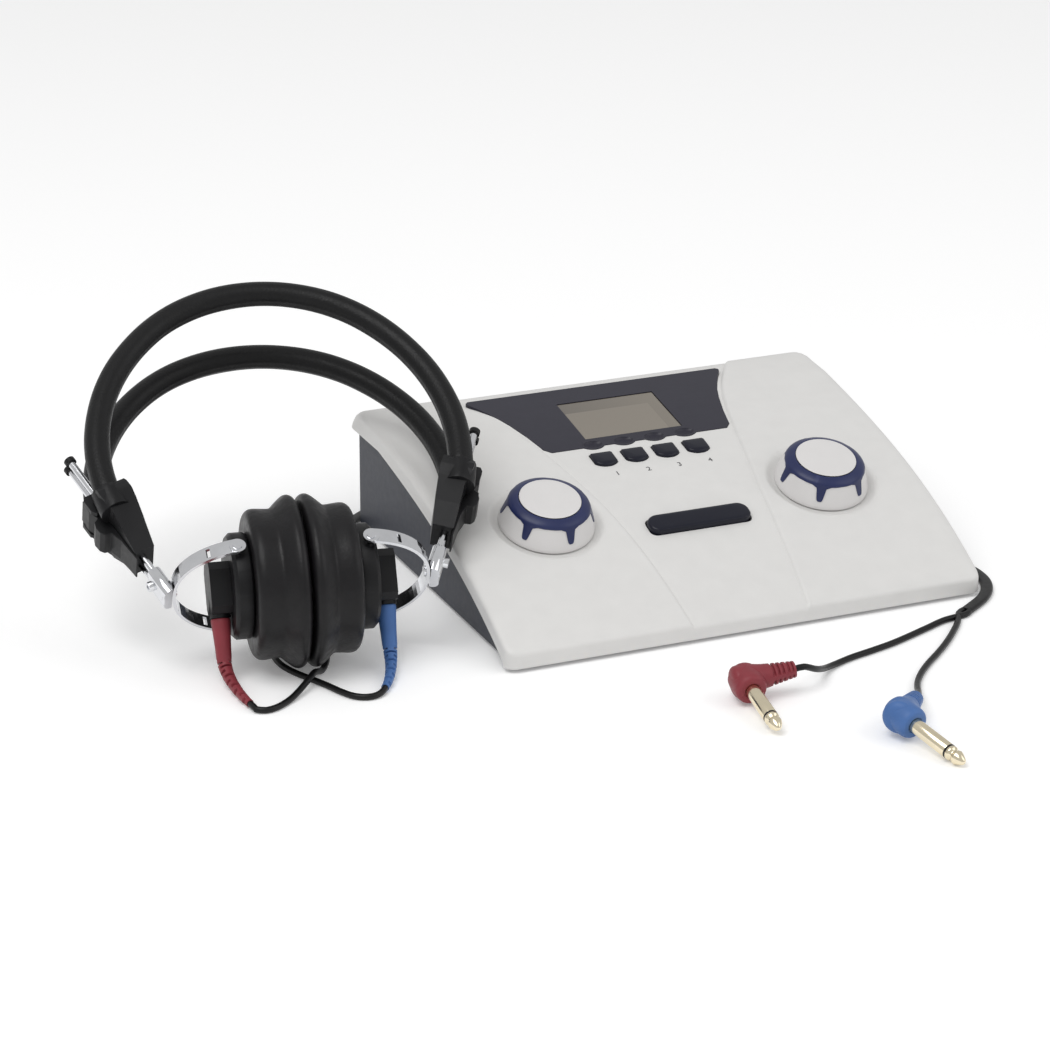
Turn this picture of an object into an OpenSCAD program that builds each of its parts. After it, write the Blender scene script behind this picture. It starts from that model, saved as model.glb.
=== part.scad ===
// Desktop audiometer with its headset.
// X to the right, Y to the rear, Z up, all in millimetres.
// The origin is the middle of the unit's footprint, on the surface it stands on.

/* [Unit] */
// Width of the unit
unit_w = 230; // [226:1:236]
// Depth of the unit
unit_d = 190; // [188:1:192]
// Height of the front lip
lip_h = 8; // [7:0.5:9]
// Height of the rubber feet
foot_h = 2; // [1.5:0.25:2.5]
// Thickness of the shell's side lip
lip_drop = 7.2; // [6.5:0.1:8]
// Thickness of the shell's top wall
wall = 3; // [2.6:0.1:3.2]
// How far the middle zone sits below the side zones
zone_step = 1; // [0.6:0.1:1.2]

/* [Controls] */
// Radius of a knob at its foot
knob_r = 21.6; // [20:0.1:22]
// Height of a knob
knob_h = 13.3; // [12:0.1:14]
// Radius of a knob's cap disc
cap_r = 13.9; // [13:0.1:14.2]
// Distance of a knob's axis from the middle
knob_x = 68; // [66:0.5:69]
// Pitch of the four keys
key_pitch = 15.4; // [15:0.1:16]
// Travel of a key
key_travel = 1.2; // [0.8:0.1:1.2]
// Length of the tone bar
bar_l = 49.5; // [46:0.5:51]
// Travel of the tone bar
bar_travel = 1.4; // [1:0.1:1.4]

/* [Display] */
// Width of the display window
window_w = 48.8; // [46:0.2:50]
// Depth of the display window
window_d = 33.8; // [32:0.2:35]

/* [Headset] */
// Angle of the headband above the table
band_lean = 28.2; // [27.8:0.1:28.6]
// Turn of the headset towards the front
band_yaw = 10.4; // [10:0.1:10.8]
// Radius of an ear cushion's flared rim
cushion_r = 37; // [36.6:0.1:37]
// Radius of an earphone case
case_r = 22.6; // [22:0.1:22.8]
// Radius of the padded band tubes
pad_r = 5.5; // [5:0.1:5.6]
// Outward splay of the slider rods
rod_splay = 23; // [22.5:0.1:23.5]
// Radius of a slider rod
rod_r = 1.6; // [1.5:0.05:1.65]

/* [Leads] */
// Diameter of a single lead
lead_d = 2.8; // [2.6:0.1:3]
// Width of the twin lead
twin_w = 5.6; // [5.2:0.1:6]
// Radius of a phone plug's shaft
plug_r = 3.175; // [3.1:0.005:3.2]

/* [Hidden] */
$fn = 48;

shell_grey = [0.86, 0.86, 0.84];
slate = [0.21, 0.23, 0.28];
navy = [0.17, 0.18, 0.30];
key_navy = [0.15, 0.16, 0.22];
satin_black = [0.13, 0.13, 0.14];
chrome_grey = [0.78, 0.79, 0.80];
red_plastic = [0.52, 0.22, 0.24];
blue_plastic = [0.29, 0.42, 0.64];

// The top curve seen from the side: heights at four equal stations of a Bezier.
top_heights = [lip_h, 46.2, 52.7, 63.9];
rear_r = 16;
rear_c = [unit_d / 2 - rear_r, 43.3];
crest_y = 58;
edge_r = 5;
edge_drop = 2.2;
lip_r = 3;

function bezier(h, t) = h[0] * pow(1 - t, 3) + 3 * h[1] * t * pow(1 - t, 2)
    + 3 * h[2] * t * t * (1 - t) + h[3] * pow(t, 3);
function top_z(y) = bezier(top_heights, y / unit_d + 0.5);
function top_angle(y) = atan(top_z(y + 0.5) - top_z(y - 0.5));
function arc(c, r, a0, a1, n) = [for (i = [0:n]) c + r * [cos(a0 + (a1 - a0) * i / n),
    sin(a0 + (a1 - a0) * i / n)]];
function top_curve(y0, y1, n, dz) = [for (i = [0:n]) let (y = y0 + (y1 - y0) * i / n)
    [y, top_z(y) + dz]];

// Puts children on the top surface at x, y, with their Z along its normal.
module on_top(x, y) translate([x, y, top_z(y)]) rotate([top_angle(y), 0, 0]) children();
// Extrudes a side view, drawn in Y and Z, across the unit.
module across(w) rotate([90, 0, 90]) linear_extrude(w, center = true) children();

module rounded_plan(w, d, r) {
    square([w - 2 * r, d], center = true);
    square([w, d - 2 * r], center = true);
    for (x = [-1, 1], y = [-1, 1]) translate([x * (w / 2 - r), y * (d / 2 - r)]) circle(r);
}

// ---------------------------------------------------------------- unit: casing
// Side view of the skin, raised by rise and drawn in by pull at the front and rear.
function skin_outline(rise, pull) =
    let (yf = pull - unit_d / 2,
         y1 = yf + lip_r * (1 - cos(59)),
         lip_c = [yf + lip_r, top_z(y1) + rise - lip_r * sin(59)])
    concat([[yf, 0]], arc(lip_c, lip_r, 180, 121, 3),
        top_curve(y1 + 3, crest_y, 18, rise),
        arc(rear_c + [-pull, rise], rear_r, 90, 0, 6), [[unit_d / 2 - pull, 0]]);

// Underside of the shell's lip: its offset from the top curve, then flat at the rear.
lip_rear_z = 50;
function lip_under(y) = min(lip_rear_z, max(foot_h, top_z(y) - lip_drop));
lip_under_pts = [for (y = [-94:4:54]) [y, lip_under(y)]];

zone_half = [[96, 82], [74, 68.4], [66, 63.6], [57, 58.9], [48, 55.2], [36, 51.4], [24, 48.3],
    [-26, 37.6], [-54, 33.4], [-96, 28]];
panel_y = [21, 74];
window_y = 44.4;
key_y = 9.7;
bar_y = -41;
knob_y = -27.6;
screw_xy = [[-98, -58], [98, -58], [-98, 74], [98, 74]];
board_xy = [[-76, -45], [76, -45], [-74, 62], [74, 62]];
board_y = 14;
board_z = -12.5;

panel_side = [[44, 21], [46.8, 24], [49.5, 36], [53, 48], [55.6, 55], [58.5, 61], [61.5, 66.5],
    [64.4, 71], [64.9, 72.8], [63.6, 74]];
module panel_plan(e) {
    half = [for (p = panel_side) [p[0] + e, p[1] + (p[1] < 22 ? -e : p[1] > 73 ? e : 0)]];
    polygon(concat(half, [for (i = [len(half) - 1:-1:0]) [-half[i][0], half[i][1]]]));
    for (i = [0:3]) translate([key_x(i), panel_y[0] + 5]) circle(7.2 + e);
}
function key_x(i) = (i - 1.5) * key_pitch;

module key_plan(e) intersection() {
    translate([0, 1.6]) circle(6.9 + e);
    square([11 + 2 * e, 10.4 + 2 * e], center = true);
}

// The layer between two offsets from the top curve, as wide as the unit.
module top_layer(z0, z1) across(unit_w + 20)
    polygon(concat(top_curve(-unit_d / 2, unit_d / 2, 30, z1),
        [for (p = top_curve(-unit_d / 2, unit_d / 2, 30, z0)) [-p[0], 0]
            + [0, top_z(-p[0]) + z0]]));

module shell_skin() hull() for (a = [0, 30, 60, 90], s = [-1, 1])
    translate([s * (unit_w / 2 - edge_r * (1 - cos(a))), 0, 0]) across(0.02)
        polygon(skin_outline(zone_step - edge_drop * (1 - sin(a)), edge_r * (1 - sin(a))));

module shell_under() across(unit_w + 2) polygon(concat([[-100, -5], [-100, foot_h]],
    lip_under_pts, [[64, lip_rear_z], [100, lip_rear_z], [100, -5]]));

module shell_cavity() across(unit_w - 5) polygon(concat([[2.5 - unit_d / 2, -1]],
    top_curve(2.5 - unit_d / 2, 70, 20, -wall), [[86, 53], [90.5, 46], [90.5, -1]]));

module middle_zone() difference() {
    linear_extrude(90) polygon(concat([for (p = zone_half) [p[1], p[0]]],
        [for (i = [len(zone_half) - 1:-1:0]) [-zone_half[i][1], zone_half[i][0]]]));
    across(unit_w) polygon(skin_outline(0, 0));
}

module top_shell() color(shell_grey) difference() {
    union() {
        difference() {
            shell_skin();
            middle_zone();
            shell_under();
            shell_cavity();
        }
        for (p = screw_xy) shell_boss(p[0], p[1], 3.5, 14);
        for (p = board_xy) board_post(p[0], p[1]);
    }
    intersection() {
        linear_extrude(90) panel_plan(0.15);
        top_layer(-1.6, 20);
    }
    on_top(0, window_y) linear_extrude(20, center = true) square([53, 37], center = true);
    for (i = [0:3]) on_top(key_x(i), key_y) linear_extrude(20, center = true) key_plan(0.3);
    on_top(0, bar_y) linear_extrude(20, center = true)
        rounded_plan(bar_l + 0.6, 11.1, 3.3);
    for (s = [-1, 1]) on_top(s * knob_x, knob_y) {
        translate([0, 0, -1.3]) cylinder(h = 20, r = 26.5);
        cylinder(h = 20, r = 4.7, center = true);
    }
    for (p = screw_xy) translate([p[0], p[1], 0]) cylinder(h = top_z(p[1]) - 6, r = 1.25);
    for (p = board_xy) on_top(0, board_y) translate([p[0], p[1] - board_y, board_z])
        cylinder(h = 7, r = 1.1);
}

// A screw boss hanging from the shell's ceiling.
module shell_boss(x, y, r, l) translate([x, y, top_z(y) - wall - l]) cylinder(h = l + 1, r = r);
// A post that carries the board, square to it.
module board_post(x, y) intersection() {
    on_top(0, board_y) translate([x, y - board_y, board_z + 0.9]) cylinder(h = 16, r = 3.2);
    across(unit_w) polygon(concat([[-90, 0]], top_curve(-90, 80, 20, -1.5), [[80, 0]]));
}

base_w = 221;
base_y = [-88.5, 91.5];
module base_block(w, y0, y1, z0, dz) across(w)
    polygon(concat([[y0, z0]], top_curve(y0, min(y1, 70), 20, dz),
        y1 > 80 ? [[80, 56 + dz], [y1, 51.5 + dz], [y1, z0]] : [[y1, z0]]));

jack_x = [-62, -38, -14];
inlet_x = 70;
jack_z = 20;
module base_housing() color(slate) difference() {
    union() {
        difference() {
            base_block(base_w, base_y[0], base_y[1], foot_h, -wall - 0.4);
            base_block(base_w - 5, base_y[0] + 2.5, base_y[1] - 2.5, foot_h + 2.5, 2);
        }
        for (p = screw_xy) translate([p[0], p[1], foot_h])
            cylinder(h = top_z(p[1]) - wall - 14.2 - foot_h, r = 3.5);
    }
    for (p = screw_xy) translate([p[0], p[1], 0]) {
        cylinder(h = 70, r = 1.7);
        cylinder(h = foot_h + 2, r = 3.2);
    }
    for (x = jack_x) translate([x, base_y[1], jack_z]) rotate([90, 0, 0])
        cylinder(h = 20, r = 5.1, center = true);
    translate([inlet_x, base_y[1], jack_z]) rotate([90, 0, 0])
        cylinder(h = 20, r = 5.1, center = true);
}

foot_xy = [[0, 0], [-92, -74], [92, -74], [-92, 80], [92, 80]];
module feet() color(satin_black) for (p = foot_xy) translate([p[0], p[1], 0]) rotate_extrude() polygon([[0, 0], [5, 0], [6, 0.8], [6, foot_h],
        [0, foot_h]]);

// A pan-head screw, its head at the origin and its shank along +Z.
module screw(head_r, head_h, r, l) {
    difference() {
        cylinder(h = head_h, r = head_r);
        for (a = [0, 90]) rotate([0, 0, a]) cube([head_r * 1.2, 0.6, 1], center = true);
    }
    cylinder(h = l, r = r);
}
module screws() color(chrome_grey) {
    for (p = screw_xy) translate([p[0], p[1], foot_h + 0.2])
        screw(2.8, 1.7, 1.25, top_z(p[1]) - foot_h - 11);
    for (p = board_xy) on_top(0, board_y) translate([p[0], p[1] - board_y, board_z - 2.3])
        screw(2.3, 1.5, 1.1, 7);
}

// ------------------------------------------------------- unit: display and board
module display_panel() color([0.25, 0.25, 0.30]) difference() {
    intersection() {
        linear_extrude(90) panel_plan(0);
        top_layer(-1.6, 0.25);
    }
    on_top(0, window_y) linear_extrude(20, center = true)
        square([window_w, window_d], center = true);
    for (i = [0:3]) on_top(key_x(i), panel_y[0] + 1.8) dimple();
}
// A shallow oval hollow behind each key.
module dimple() translate([0, 0, 6.25]) rotate([0, 90, 0]) rotate_extrude() intersection() {
    translate([-15.4, 0]) circle(21.9, $fn = 96);
    translate([0, -6]) square([9, 12]);
}

module display_lens() color([0.53, 0.50, 0.45]) on_top(0, window_y)
    translate([0, 0, -1.2]) linear_extrude(1)
        square([window_w - 0.2, window_d - 0.2], center = true);
module display_module() color([0.30, 0.34, 0.32]) on_top(0, window_y) {
    translate([0, 0, -6]) linear_extrude(2.6) rounded_plan(58, 44, 1);
    translate([0, 0, -3.6]) linear_extrude(2.2) square([window_w - 0.8, 33], center = true);
}

module main_board() color([0.10, 0.35, 0.22]) on_top(0, board_y) difference() {
    translate([0, 0, board_z]) linear_extrude(1.6, center = true)
        polygon([[-80, -66], [80, -66], [80, 54], [-80, 54]]);
    for (p = board_xy) translate([p[0], p[1] - board_y, board_z])
        cylinder(h = 5, r = 1.3, center = true);
}
// Dome switches under the keys and, in a pair, under the tone bar.
module key_switches() color([0.2, 0.2, 0.2]) {
    for (i = [0:3]) tact(key_x(i), key_y, 6.3);
    for (s = [-1, 1]) tact(s * 15, bar_y, 6.6);
}
module tact(x, y, top) intersection() {
    on_top(x, y) translate([0, 0, -top]) {
        translate([0, 0, -20]) linear_extrude(17.8) square(6, center = true);
        translate([0, 0, -3]) cylinder(h = 3, r = 1.7);
    }
    on_top(0, board_y) translate([-90, -90, board_z + 0.85]) cube([180, 180, 30]);
}
module encoder_bodies() color([0.55, 0.56, 0.55]) for (s = [-1, 1])
    on_top(s * knob_x, knob_y) difference() {
        union() {
            translate([0, 0, -8.2]) linear_extrude(5) square(12.4, center = true);
            translate([0, 0, -5]) cylinder(h = 7.6, r = 4.5);
            translate([0, 0, -1.2]) cylinder(h = 2, r = 7.2, $fn = 6);
        }
        translate([0, 0, -7]) cylinder(h = 20, r = 3.05);
    }

// A 6.35 mm panel jack: bush, nut and body, its bore open to the rear.
module phone_jack(x) color(satin_black) translate([x, base_y[1], jack_z])
    rotate([90, 0, 0]) difference() {
        union() {
            translate([0, 0, 2.6]) linear_extrude(30) rounded_plan(15, 17, 1.5);
            translate([0, 0, -3]) cylinder(h = 8, r = 5);
            translate([0, 0, -2.3]) cylinder(h = 2.2, r = 8, $fn = 6);
        }
        translate([0, 0, -4]) cylinder(h = 32, r = plug_r + 0.06);
    }
module phone_jacks() for (x = jack_x) phone_jack(x);
module power_inlet() color(satin_black) translate([inlet_x, base_y[1], jack_z])
    rotate([90, 0, 0]) {
        difference() {
            union() {
                translate([0, 0, 2.6]) linear_extrude(10) rounded_plan(12, 12, 1.5);
                translate([0, 0, -1]) cylinder(h = 6, r = 5);
            }
            translate([0, 0, -2]) cylinder(h = 12, r = 2.8);
        }
        translate([0, 0, 0]) cylinder(h = 10.5, r = 1);
    }

// ------------------------------------------------------------- unit: controls
module key(i) color(key_navy) on_top(key_x(i), key_y) {
    translate([0, 0, -5]) linear_extrude(6) key_plan(0);
    translate([0, 0, 1]) linear_extrude(0.6) key_plan(-0.6);
    translate([0, 0, -5]) linear_extrude(1.5) key_plan(1.1);
}
module key_1() key(0);
module key_2() key(1);
module key_3() key(2);
module key_4() key(3);
module tone_bar() color(key_navy) on_top(0, bar_y) {
    translate([0, 0, -5]) linear_extrude(7) rounded_plan(bar_l, 10.5, 3);
    translate([0, 0, 2]) linear_extrude(0.9) rounded_plan(bar_l - 1.6, 8.9, 2.6);
    translate([0, 0, -5]) linear_extrude(1.4) rounded_plan(bar_l + 2, 12.5, 3.4);
}

// Knob: a white skin with a cap disc on a dark core, whose legs show down the sides.
leg_count = 6;
ring_z = 10.7;
ring_r = 17.9;
module knob_outside(e) rotate_extrude() polygon([[0, -0.8], [knob_r - 0.4, -0.8],
    [knob_r, -0.3], [knob_r - 0.3, 1.2], [ring_r + e, ring_z], [0, ring_z]]);
module knob_legs(e, turn) intersection() {
    difference() {
        knob_outside(e);
        translate([0, 0, -2]) cylinder(h = 12.8, r1 = knob_r - 1, r2 = ring_r - 1.6);
    }
    for (i = [0:leg_count - 1]) rotate([0, 0, turn + i * 360 / leg_count])
        rotate([90, 0, 90]) linear_extrude(30)
            polygon([[-2.6, 11], [-1.5, 5.6], [-0.8, 4.2], [0.8, 4.2], [1.5, 5.6], [2.6, 11]]);
}
module knob_skin(turn) color(shell_grey) {
    difference() {
        knob_outside(0);
        translate([0, 0, -2]) cylinder(h = 20, r = 15);
        knob_legs(0.2, turn);
    }
    translate([0, 0, knob_h - 0.7]) rotate_extrude()
        polygon([[0, 0], [cap_r, 0], [cap_r, 0.4], [cap_r - 0.3, 0.7], [0, 0.7]]);
}
module knob_core(turn) color(navy) difference() {
    union() {
        knob_legs(0.2, turn);
        rotate_extrude() polygon([[0, 3], [4.6, 3], [4.6, 8], [15, 8.8], [15, ring_z],
            [ring_r, ring_z], [ring_r + 0.1, ring_z + 0.5], [cap_r + 0.5, knob_h - 0.25],
            [cap_r, knob_h - 0.25], [cap_r, knob_h - 0.7], [0, knob_h - 0.7]]);
    }
    translate([0, 0, 2]) cylinder(h = 8, r = 3);
}
module knob_shaft() color(chrome_grey) translate([0, 0, -6.5]) cylinder(h = 16, r = 3);
left_turn = 38;
module knob_left_skin() on_top(-knob_x, knob_y) knob_skin(left_turn);
module knob_left_core() on_top(-knob_x, knob_y) knob_core(left_turn);
module knob_left_shaft() on_top(-knob_x, knob_y) knob_shaft();
module knob_right_skin() on_top(knob_x, knob_y) knob_skin(0);
module knob_right_core() on_top(knob_x, knob_y) knob_core(0);
module knob_right_shaft() on_top(knob_x, knob_y) knob_shaft();

// --------------------------------------------------------------------- headset
// Headset frame: X along the ear axis to the right cup, Y up the band, Z its normal.
hs_at = [-189.8, -47, 37];
module headset() translate(hs_at) rotate([band_lean, 0, -band_yaw]) children();
function hs_world(p) = let (y = p[1] * cos(band_lean) - p[2] * sin(band_lean),
    z = p[1] * sin(band_lean) + p[2] * cos(band_lean))
    hs_at + [p[0] * cos(band_yaw) + y * sin(band_yaw),
        y * cos(band_yaw) - p[0] * sin(band_yaw), z];
// The right side as drawn, or mirrored for the left.
module side(s) headset() mirror([s < 0 ? 1 : 0, 0, 0]) children();

// Band: an oval of two radii, in a plane that leans away from its twin.
oval_y = 82.2;
oval_turn = 47.8;
oval_top = [72, 18.9 * sin(oval_turn)];
oval_side = [90.9, -18.9 * cos(oval_turn)];
pad_foot = [-12.8, -6.4];
spring_foot = [-17, -14];
module band_plane(s) translate([0, -18, s * 7.5]) rotate([s * 4.4, 0, 0]) children();
// A tube of radius r: a top arc and two side arcs, bridged by short collars where they meet.
module oval(foot, r) translate([0, oval_y, 0]) {
    translate([0, oval_top[1], 0]) rotate([0, 0, oval_turn + 0.3])
        rotate_extrude(angle = 179.4 - 2 * oval_turn) translate([oval_top[0], 0]) circle(r);
    for (s = [0, 1]) mirror([s, 0, 0]) {
        translate([oval_side[1], 0, 0]) rotate([0, 0, foot])
            rotate_extrude(angle = oval_turn - 0.3 - foot)
                translate([oval_side[0], 0]) circle(r);
        translate([0, oval_top[1], 0]) rotate([0, 0, oval_turn]) translate([oval_top[0], 0, 0])
            rotate([90, 0, 0]) cylinder(h = 4, r = r + 0.1, center = true);
    }
}
function foot_of(feet, s) = s > 0 ? feet[0] : feet[1];
module band_pad(s) color(satin_black) headset() band_plane(s) difference() {
    oval(foot_of(pad_foot, s), pad_r);
    oval(foot_of(spring_foot, s), 2.25);
}
module band_spring(s) color(chrome_grey) headset() band_plane(s)
    oval(foot_of(spring_foot, s), 2.2);
module band_pad_front() band_pad(1);
module band_pad_rear() band_pad(-1);
module band_spring_front() band_spring(1);
module band_spring_rear() band_spring(-1);

// Slider frame: Y up along the rods, X outwards, origin at the clevis.
rod_at = [58.2, 1.7, 0];
rod_gap = 2.6;
rod_l = 78;
module rod_frame() translate(rod_at) rotate([0, 0, -rod_splay]) children();
module along_y() rotate([-90, 0, 0]) children();

lever_at = [6.4, 50];
// Moulded block: a body on the rods, ears for the lever and a hood round the front band.
module holder() color(satin_black) difference() {
    union() {
        rod_frame() {
            intersection() {
                translate([0, 0, -25]) linear_extrude(50) polygon([[-5.6, 17.5], [3.6, 17.5],
                    [3.6, 36], [5, 41], [5.6, 45], [5.2, 54], [1, 57], [-5, 54], [-8.2, 49],
                    [-8.8, 42], [-7.6, 30]]);
                rotate([90, 0, 90]) linear_extrude(40, center = true)
                    polygon([[48, 18], [46, 18.8], [43, 18.4], [38, 16.6], [28, 11.2],
                        [17.5, 7], [17.5, -6.8], [26, -8.6], [34, -13], [44, -14.5],
                        [52, -13.5], [58, -11], [58, -7], [53, -6.4], [53, 7.4], [48.6, 9]]);
            }
            for (s = [-1, 1]) translate([0, 0, s * 7.4 - 1]) linear_extrude(2)
                polygon([[2.5, 43], [7, 43.4], [8.7, 45.5], [8.7, 52], [7.6, 53.8], [2.5, 54]]);
        }
        band_plane(1) translate([0, oval_y, 0]) translate([oval_side[1], 0, 0])
            rotate([0, 0, -18]) rotate_extrude(angle = 7)
                translate([oval_side[0], 0]) circle(6.9);
    }
    rod_frame() {
        for (s = [-1, 1]) translate([0, 15, s * rod_gap])
            along_y() cylinder(h = 60, r = rod_r + 0.05);
        translate([3, 10, -6.4]) cube([12, 60, 12.8]);
        translate([lever_at[0], lever_at[1], 0]) cylinder(h = 16.4, r = 1.2, center = true);
    }
    for (s = [-1, 1]) band_plane(s) {
        oval(foot_of(spring_foot, s), 2.2);
        oval(foot_of(pad_foot, s), pad_r + 0.05);
    }
}
module holder_left() side(-1) holder();
module holder_right() side(1) holder();
module lever_pins() color(chrome_grey) for (s = [-1, 1]) side(s) rod_frame()
    translate([lever_at[0], lever_at[1], 0]) cylinder(h = 16.4, r = 1.2, center = true);
// Thumb lever that locks the rods: a plate with a lobe for the thumb.
module lever() color(satin_black) rod_frame() difference() {
    translate([0, 0, -6]) linear_extrude(12)
        polygon([[3.4, 50], [3.9, 52], [5.4, 54], [8.1, 54], [8.6, 47.5], [7.2, 42.6], [9.4, 41.4],
            [10.5, 38.5], [10.3, 35], [9, 33], [6.4, 32.6], [4.8, 27], [4.1, 15], [3.4, 15]]);
    translate([lever_at[0], lever_at[1], 0]) cylinder(h = 30, r = 1.25, center = true);
}
module lever_left() side(-1) lever();
module lever_right() side(1) lever();

// Twin rods with their end caps.
module slider() rod_frame() {
    color(chrome_grey) for (s = [-1, 1]) translate([0, 0.6, s * rod_gap])
        along_y() cylinder(h = rod_l - 0.6, r = rod_r);
    color(satin_black) for (s = [-1, 1]) translate([0, rod_l - 0.6, s * rod_gap])
        along_y() cylinder(h = 2.2, r = 2.45);
}
module slider_left() side(-1) slider();
module slider_right() side(1) slider();

// Clevis: a clamp block on the rods, with a boss for the stirrup's pivot.
yoke_x = 28.3;
yoke_r = 26;
pivot_x = 55.15;
module clevis() color(chrome_grey) difference() {
    union() {
        difference() {
            rod_frame() {
                translate([0, -6.4, 0]) along_y() linear_extrude(14.2) clevis_plan();
                translate([3, 3.6, 0]) rotate([0, 90, 0]) cylinder(h = 2.2, r = 2.2);
            }
            translate([pivot_x - 15, 0, 0]) rotate([0, 90, 0]) cylinder(h = 15, r = 13);
        }
        translate([pivot_x, 0, 0]) rotate([0, 90, 0]) cylinder(h = 4.2, r = 3.6);
    }
    rod_frame() for (s = [-1, 1]) translate([0, 0.6, s * rod_gap])
        along_y() cylinder(h = 20, r = rod_r);
    translate([50, 0, 0]) rotate([0, 90, 0]) cylinder(h = 9, r = 1.55);
    rod_frame() translate([4.4, 3.6, 0]) rotate([0, 90, 0]) cylinder(h = 2, r = 1.1, $fn = 6);
}
module clevis_plan() {
    for (s = [-1, 1]) translate([0, s * rod_gap]) circle(3.3);
    translate([-2.8, -3.4]) square([5.8, 6.8]);
}
module clevis_left() side(-1) clevis();
module clevis_right() side(1) clevis();

// Stirrup: a bow of flat strip, with a pin at each end and a pivot in its middle.
strip_w = 7;
strip_t = 1.4;
strip_bow = [[0, 26], [15, 23.5], [26.4, 14.5], [26, 0]];
function strip_line(n) = let (p = bow(strip_bow[0], strip_bow[1], strip_bow[2], strip_bow[3], n))
    concat(p, [for (i = [n - 1:-1:0]) [p[i][0], -p[i][1]]]);
module stirrup() color(chrome_grey) {
    line = strip_line(16);
    side_of = [for (i = [0:len(line) - 1]) let (d = heading(line, i)) [-d[1], d[0]]];
    difference() {
        union() {
            translate([yoke_x, 0, 0]) rotate([90, 0, 0]) linear_extrude(strip_w, center = true)
                polygon(concat([for (i = [0:len(line) - 1]) line[i] + strip_t / 2 * side_of[i]],
                    [for (i = [len(line) - 1:-1:0]) line[i] - strip_t / 2 * side_of[i]]));
            for (s = [-1, 1]) translate([yoke_x, 0, s * yoke_r])
                cylinder(h = strip_t, r = strip_w / 2, center = true);
        }
        for (s = [-1, 1]) translate([yoke_x, 0, 0]) rotate([0, s * 62, 0])
            translate([yoke_r - 1, 0, 0]) cube([5, 4.4, 1.8], center = true);
    }
    for (s = [-1, 1]) translate([yoke_x, 0, s * (yoke_r - 3.9)])
        cylinder(h = 8.8, r = 1.5, center = true);
    for (s = [-1, 1]) translate([yoke_x, 0, s * (yoke_r + 0.8)])
        cylinder(h = 0.8, r = 2, center = true);
    translate([yoke_x + yoke_r - 1.2, 0, 0]) rotate([0, 90, 0]) cylinder(h = 5.6, r = 1.5);
    translate([yoke_x + yoke_r - 1.5, 0, 0]) rotate([0, 90, 0]) cylinder(h = 1, r = 2.3);
}
module stirrup_left() side(-1) stirrup();
module stirrup_right() side(1) stirrup();

// Earphone case, its capsule in the cushion's bore and its drum behind.
drum = [22.8, 30.8];
module around_x() rotate([90, 0, 90]) rotate_extrude() children();
module case() color(satin_black) difference() {
    around_x() polygon([[0, 11], [17, 11], [19, 13], [19, drum[0]], [case_r - 0.8, drum[0]],
        [case_r, drum[0] + 0.8], [case_r, drum[1] - 1.6], [case_r - 1.6, drum[1]], [0, drum[1]]]);
    translate([yoke_x, 0, 0]) for (s = [-1, 1]) translate([0, 0, s * 21])
        cylinder(h = 8, r = 1.55, center = true);
}
module case_left() side(-1) case();
module case_right() side(1) case();

// Ear cushion: a flared rim drawn in to a round body, hollow round the capsule.
module cushion() color(satin_black) around_x() polygon(concat(
    [[11, 10.8], [11, 6], [14, 2.2], [20, 0.5], [31, 0.3]],
    arc([34.9, 4], 2.1, -50, 50, 4),
    [[33.2, 9.4], [31.6, 11.2], [31.7, 15], [32.1, 18.4]],
    arc([28.4, 18.9], 3.7, 0, 90, 4), [[19.1, 22.6], [19.1, 12.9], [17.1, 10.8]]));
module cushion_left() side(-1) cushion();
module cushion_right() side(1) cushion();

// Socket housing behind the drum; its mouth faces down along cup_down.
socket_x = 35.4;
module cup_down() rotate([35, 0, 0]) children();
module socket_housing() color(satin_black) {
    cup_down() difference() {
        union() {
            translate([drum[1] + 0.02, 0, 0]) rotate([90, 0, 90]) linear_extrude(8.8)
                polygon([[-11.4, -6.5], [-8.5, -9.4], [7, -9.4], [10.4, -6.5], [10.4, 6.5],
                    [7, 9.4], [-8.5, 9.4], [-11.4, 6.5]]);
            translate([socket_x, -5, 0]) rotate([90, 0, 0]) cylinder(h = 8, r = 4.5);
        }
        translate([socket_x, -2, 0]) rotate([90, 0, 0]) cylinder(h = 30, r = 2.6);
    }
}
module socket_left() side(-1) socket_housing();
module socket_right() side(1) socket_housing();

// ----------------------------------------------------------------------- leads
function unit(v) = v / norm(v);
// Direction of a route at point i.
function heading(p, i) = unit(p[min(i + 1, len(p) - 1)] - p[max(i - 1, 0)]);
// A ring of n corners, w wide and h high, square to the route at point i.
function ring(p, i, w, h, n) = let (d = heading(p, i), s = unit(cross(d, [0, 0, 1])),
    u = cross(s, d), turn = n % 4 == 0 ? 0.5 : 0, g = n % 4 == 0 ? cos(180 / n) : 1)
    [for (k = [0:n - 1]) let (a = (k + turn) * 360 / n)
        p[i] + s * w / 2 * cos(a) / g + u * h / 2 * sin(a) / cos(180 / n)];
// One closed tube along p; w and h are lists, a value for each point.
module tube(p, w, h, n) {
    m = len(p);
    polyhedron([for (i = [0:m - 1]) each ring(p, i, w[i], h[i], n)],
        concat([[for (k = [n - 1:-1:0]) k]],
            [for (i = [0:m - 2], k = [0:n - 1]) let (a = i * n + k, b = i * n + (k + 1) % n)
                each [[a, b, a + n], [b, b + n, a + n]]],
            [[for (k = [0:n - 1]) (m - 1) * n + k]]), convexity = 8);
}
function flat(p, v) = [for (q = p) v];
module lead(p) color(satin_black) tube(p, flat(p, lead_d), flat(p, lead_d), 8);
module twin(p) color(satin_black) tube(p, flat(p, twin_w), flat(p, lead_d), 8);

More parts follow.
